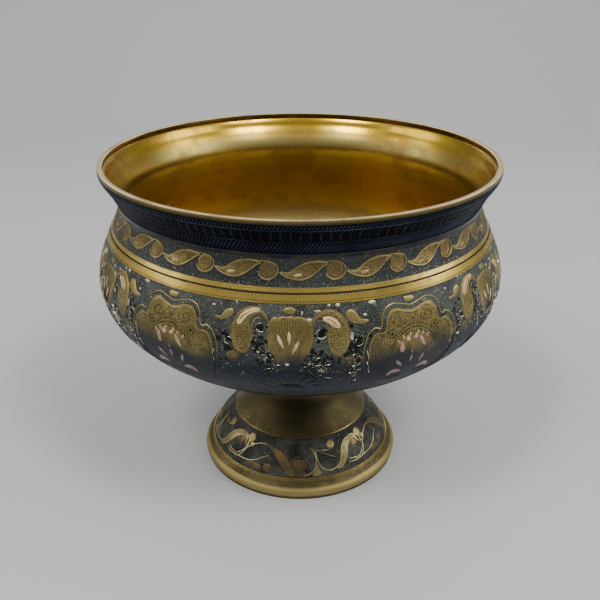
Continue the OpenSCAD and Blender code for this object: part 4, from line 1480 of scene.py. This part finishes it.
def wear_one_sixth(rng):
    """The crumbs and the holes of one sixth of the belly, as two sheets."""
    crumbs, holes = Sheet(), Sheet()
    for x, s, across, down, count in ZONES:
        for spot in keep_clear(rng.normal((x, s), (across / 1.6, down / 1.6), (count, 2)), 0.3):
            score(crumbs, squiggle(rng, *spot, rng.uniform(1.0, 3.3)), rng.uniform(0.3, 0.8),
                  rng.uniform(-0.12, 0.06), low=ROOT, taper=0.6)
        wider = (across / 1.5, down / 1.5)
        for spot in keep_clear(rng.normal((x, s), wider, (int(count * 1.2), 2)), 0.5):
            blob = circle(*spot, rng.uniform(0.5, 1.3), 9) + rng.normal(0, 0.14, (9, 2))
            plate(holes, loop(blob, 0.7), -0.11, bevel=0.15, drop=0.05, fill=3)
    everywhere = np.column_stack([rng.uniform(-HALF, HALF, 420), rng.uniform(46.5, 92, 420)])
    for x, s in keep_clear(everywhere, 0.2):
        r = rng.uniform(0.12, 0.34) * rng.uniform(0.8, 1.3)
        spin = rng.uniform(0, 6.28)
        stud(crumbs, circle(0, 0, r, 5, rng.uniform(0.5, 1)) @ turned_by(spin), (x, s), ROOT, -0.08, 0.7)
    for line in TORN_EDGES:
        bent = np.array(line) + rng.normal(0, 0.12, (len(line), 2))
        ribbon(crumbs, resample(bent, 0.7), 0.62, ROOT, 0.08, taper=0.5)
    for x, s, r in BLISTERS:
        start = rng.uniform(0, 120)
        ribbon(crumbs, arc(x, s, r, start, start + 110), 0.55, ROOT, 0.04, taper=0.6)
        ribbon(crumbs, arc(x, s, 0.9 * r, start + 170, start + 230), 0.4, ROOT, 0.0, taper=0.6)
        plate(holes, circle(x, s, 0.62 * r, 14), -0.10, bevel=0.2, drop=0.05, fill=2)
    turn = full_turn(10)
    for x, s, a, b in CHIPS:
        blob = np.stack([x + a * np.cos(turn), s + b * np.sin(turn)], 1) + rng.normal(0, 0.09, (10, 2))
        plate(crumbs, loop(blob, 0.5), 0.05, low=ROOT, bevel=0.2, drop=0.1, fill=2)
    return crumbs, holes


all_crumbs, all_holes = Sheet(), Sheet()
for k in range(MOTIFS):
    for sheet, whole in zip(wear_one_sixth(np.random.default_rng(300 + k)), (all_crumbs, all_holes)):
        points, faces = sheet.everything()
        whole.add(bowl_face.wrap(points, FRONT_TURN + 2 * math.pi * k / MOTIFS, BELLY_REF), faces)
make_object("belly_crumbs", all_crumbs.everything(), worn_brass, "bowl_brass")
make_object("belly_holes", all_holes.everything(), pit_lac, "black_lac")

# %% [markdown]
# The shoulder and the foot are worn less. A fine dust of crumbs is enough for
# them, and on the shoulder it lies thickest along the plain ring.

# %% Crumbs on the shoulder and the foot
def dust(sheet, rng, x, s, least, most):
    """One crumb of a random size between two."""
    ring = circle(x, s, rng.uniform(least, most), 5, rng.uniform(0.5, 1))
    stud(sheet, ring - (x, s), (x, s), ROOT, -0.12, 0.7)


rng = np.random.default_rng(77)
around = rng.uniform(0, 2 * math.pi * LEAF_REF, 900)
low_down = rng.random(900) < 0.6
down = np.where(low_down, rng.uniform(35.4, 37.9, 900), rng.uniform(24.3, 34, 900))
shoulder_crumbs, foot_crumbs = Sheet(), Sheet()
for x, s in np.column_stack([around, down]):
    dust(shoulder_crumbs, rng, x, s, 0.14, 0.34)
wrap_sheet("shoulder_crumbs", shoulder_crumbs, bowl_face, worn_brass, "bowl_brass", 1, LEAF_REF)
for x, s in np.column_stack([rng.uniform(0, 2 * math.pi * FOOT_REF, 420), rng.uniform(0.8, 23.6, 420)]):
    dust(foot_crumbs, rng, x, s, 0.12, 0.3)
wrap_sheet("foot_crumbs", foot_crumbs, foot_face, vine_bright, "foot_brass", 1, FOOT_REF)

# %% [markdown]
# ## Stage and light
#
# The floor is a plain pale sheet that curves up behind the bowl. Two soft
# boxes hang above and in front, one to each side, because the polished throat
# mirrors what is over the camera. A low, wide box on each side draws the edges
# of the dark belly, and the room itself gives a weak even light.

# %% Floor
def sweep_sheet(name, half_width, front, back, rise, bend, material):
    """A floor that curves up into a wall, as one mesh."""
    line = [(front, 0.0), (back - bend, 0.0)]
    line += [(back - bend + bend * math.sin(a), bend - bend * math.cos(a))
             for a in np.linspace(0, math.pi / 2, 16)[1:]]
    line.append((back, rise))
    points = [(x, y, z) for y, z in line for x in (-half_width, half_width)]
    faces = [(2 * i, 2 * i + 1, 2 * i + 3, 2 * i + 2) for i in range(len(line) - 1)]
    mesh = bpy.data.meshes.new(name)
    mesh.from_pydata(points, [], faces)
    mesh.polygons.foreach_set("use_smooth", [True] * len(mesh.polygons))
    mesh.materials.append(material)
    sheet = bpy.data.objects.new(name, mesh)
    scene.collection.objects.link(sheet)
    print(f"{name}: {len(faces)} faces, {2 * half_width} m wide")


floor_pale, tree, shader = new_material("floor_pale", Roughness=0.75, Specular_IOR_Level=0.2)
paper = use_group(tree, toning, Size=30.0)
feed(tree, shader["Base Color"],
     blend(tree, paper["Fleck"], (0.58, 0.58, 0.57), (0.52, 0.52, 0.51), share=0.06))
sweep_sheet("floor", half_width=2.4, front=-1.6, back=1.6, rise=2.2, bend=0.7, material=floor_pale)


# %% Lights
def soft_box(name, where, size, power, tint, aim=(0, 0, 0.12)):
    lamp = bpy.data.lights.new(name, "AREA")
    lamp.shape = "RECTANGLE"
    lamp.size, lamp.size_y = size
    lamp.energy = power
    lamp.color = tint
    box = bpy.data.objects.new(name, lamp)
    box.location = where
    box.rotation_euler = (Vector(aim) - Vector(where)).to_track_quat("-Z", "Y").to_euler()
    scene.collection.objects.link(box)


WARM, COOL, PLAIN = (1.0, 0.99, 0.97), (0.97, 0.99, 1.0), (1.0, 1.0, 1.0)
soft_box("overhead_left", (-0.56, -0.62, 1.35), (0.34, 0.5), 9.5, WARM)
soft_box("overhead_right", (0.58, -0.62, 1.35), (0.38, 0.5), 10.5, WARM)
soft_box("side_left", (-1.3, -0.1, 0.75), (0.9, 0.7), 4.5, COOL)
soft_box("side_right", (1.3, -0.1, 0.75), (0.9, 0.7), 7.0, COOL)
soft_box("behind", (0, 1.45, 0.98), (1.8, 0.5), 5.0, PLAIN, aim=(0, 0, 0.2))
scene.world = bpy.data.worlds.new("studio")
scene.world.use_nodes = True
room = scene.world.node_tree.nodes["Background"]
room.inputs[0].default_value = (0.86, 0.90, 0.95, 1.0)
room.inputs[1].default_value = 0.40
print("lights:", [lamp.name for lamp in bpy.data.lights])
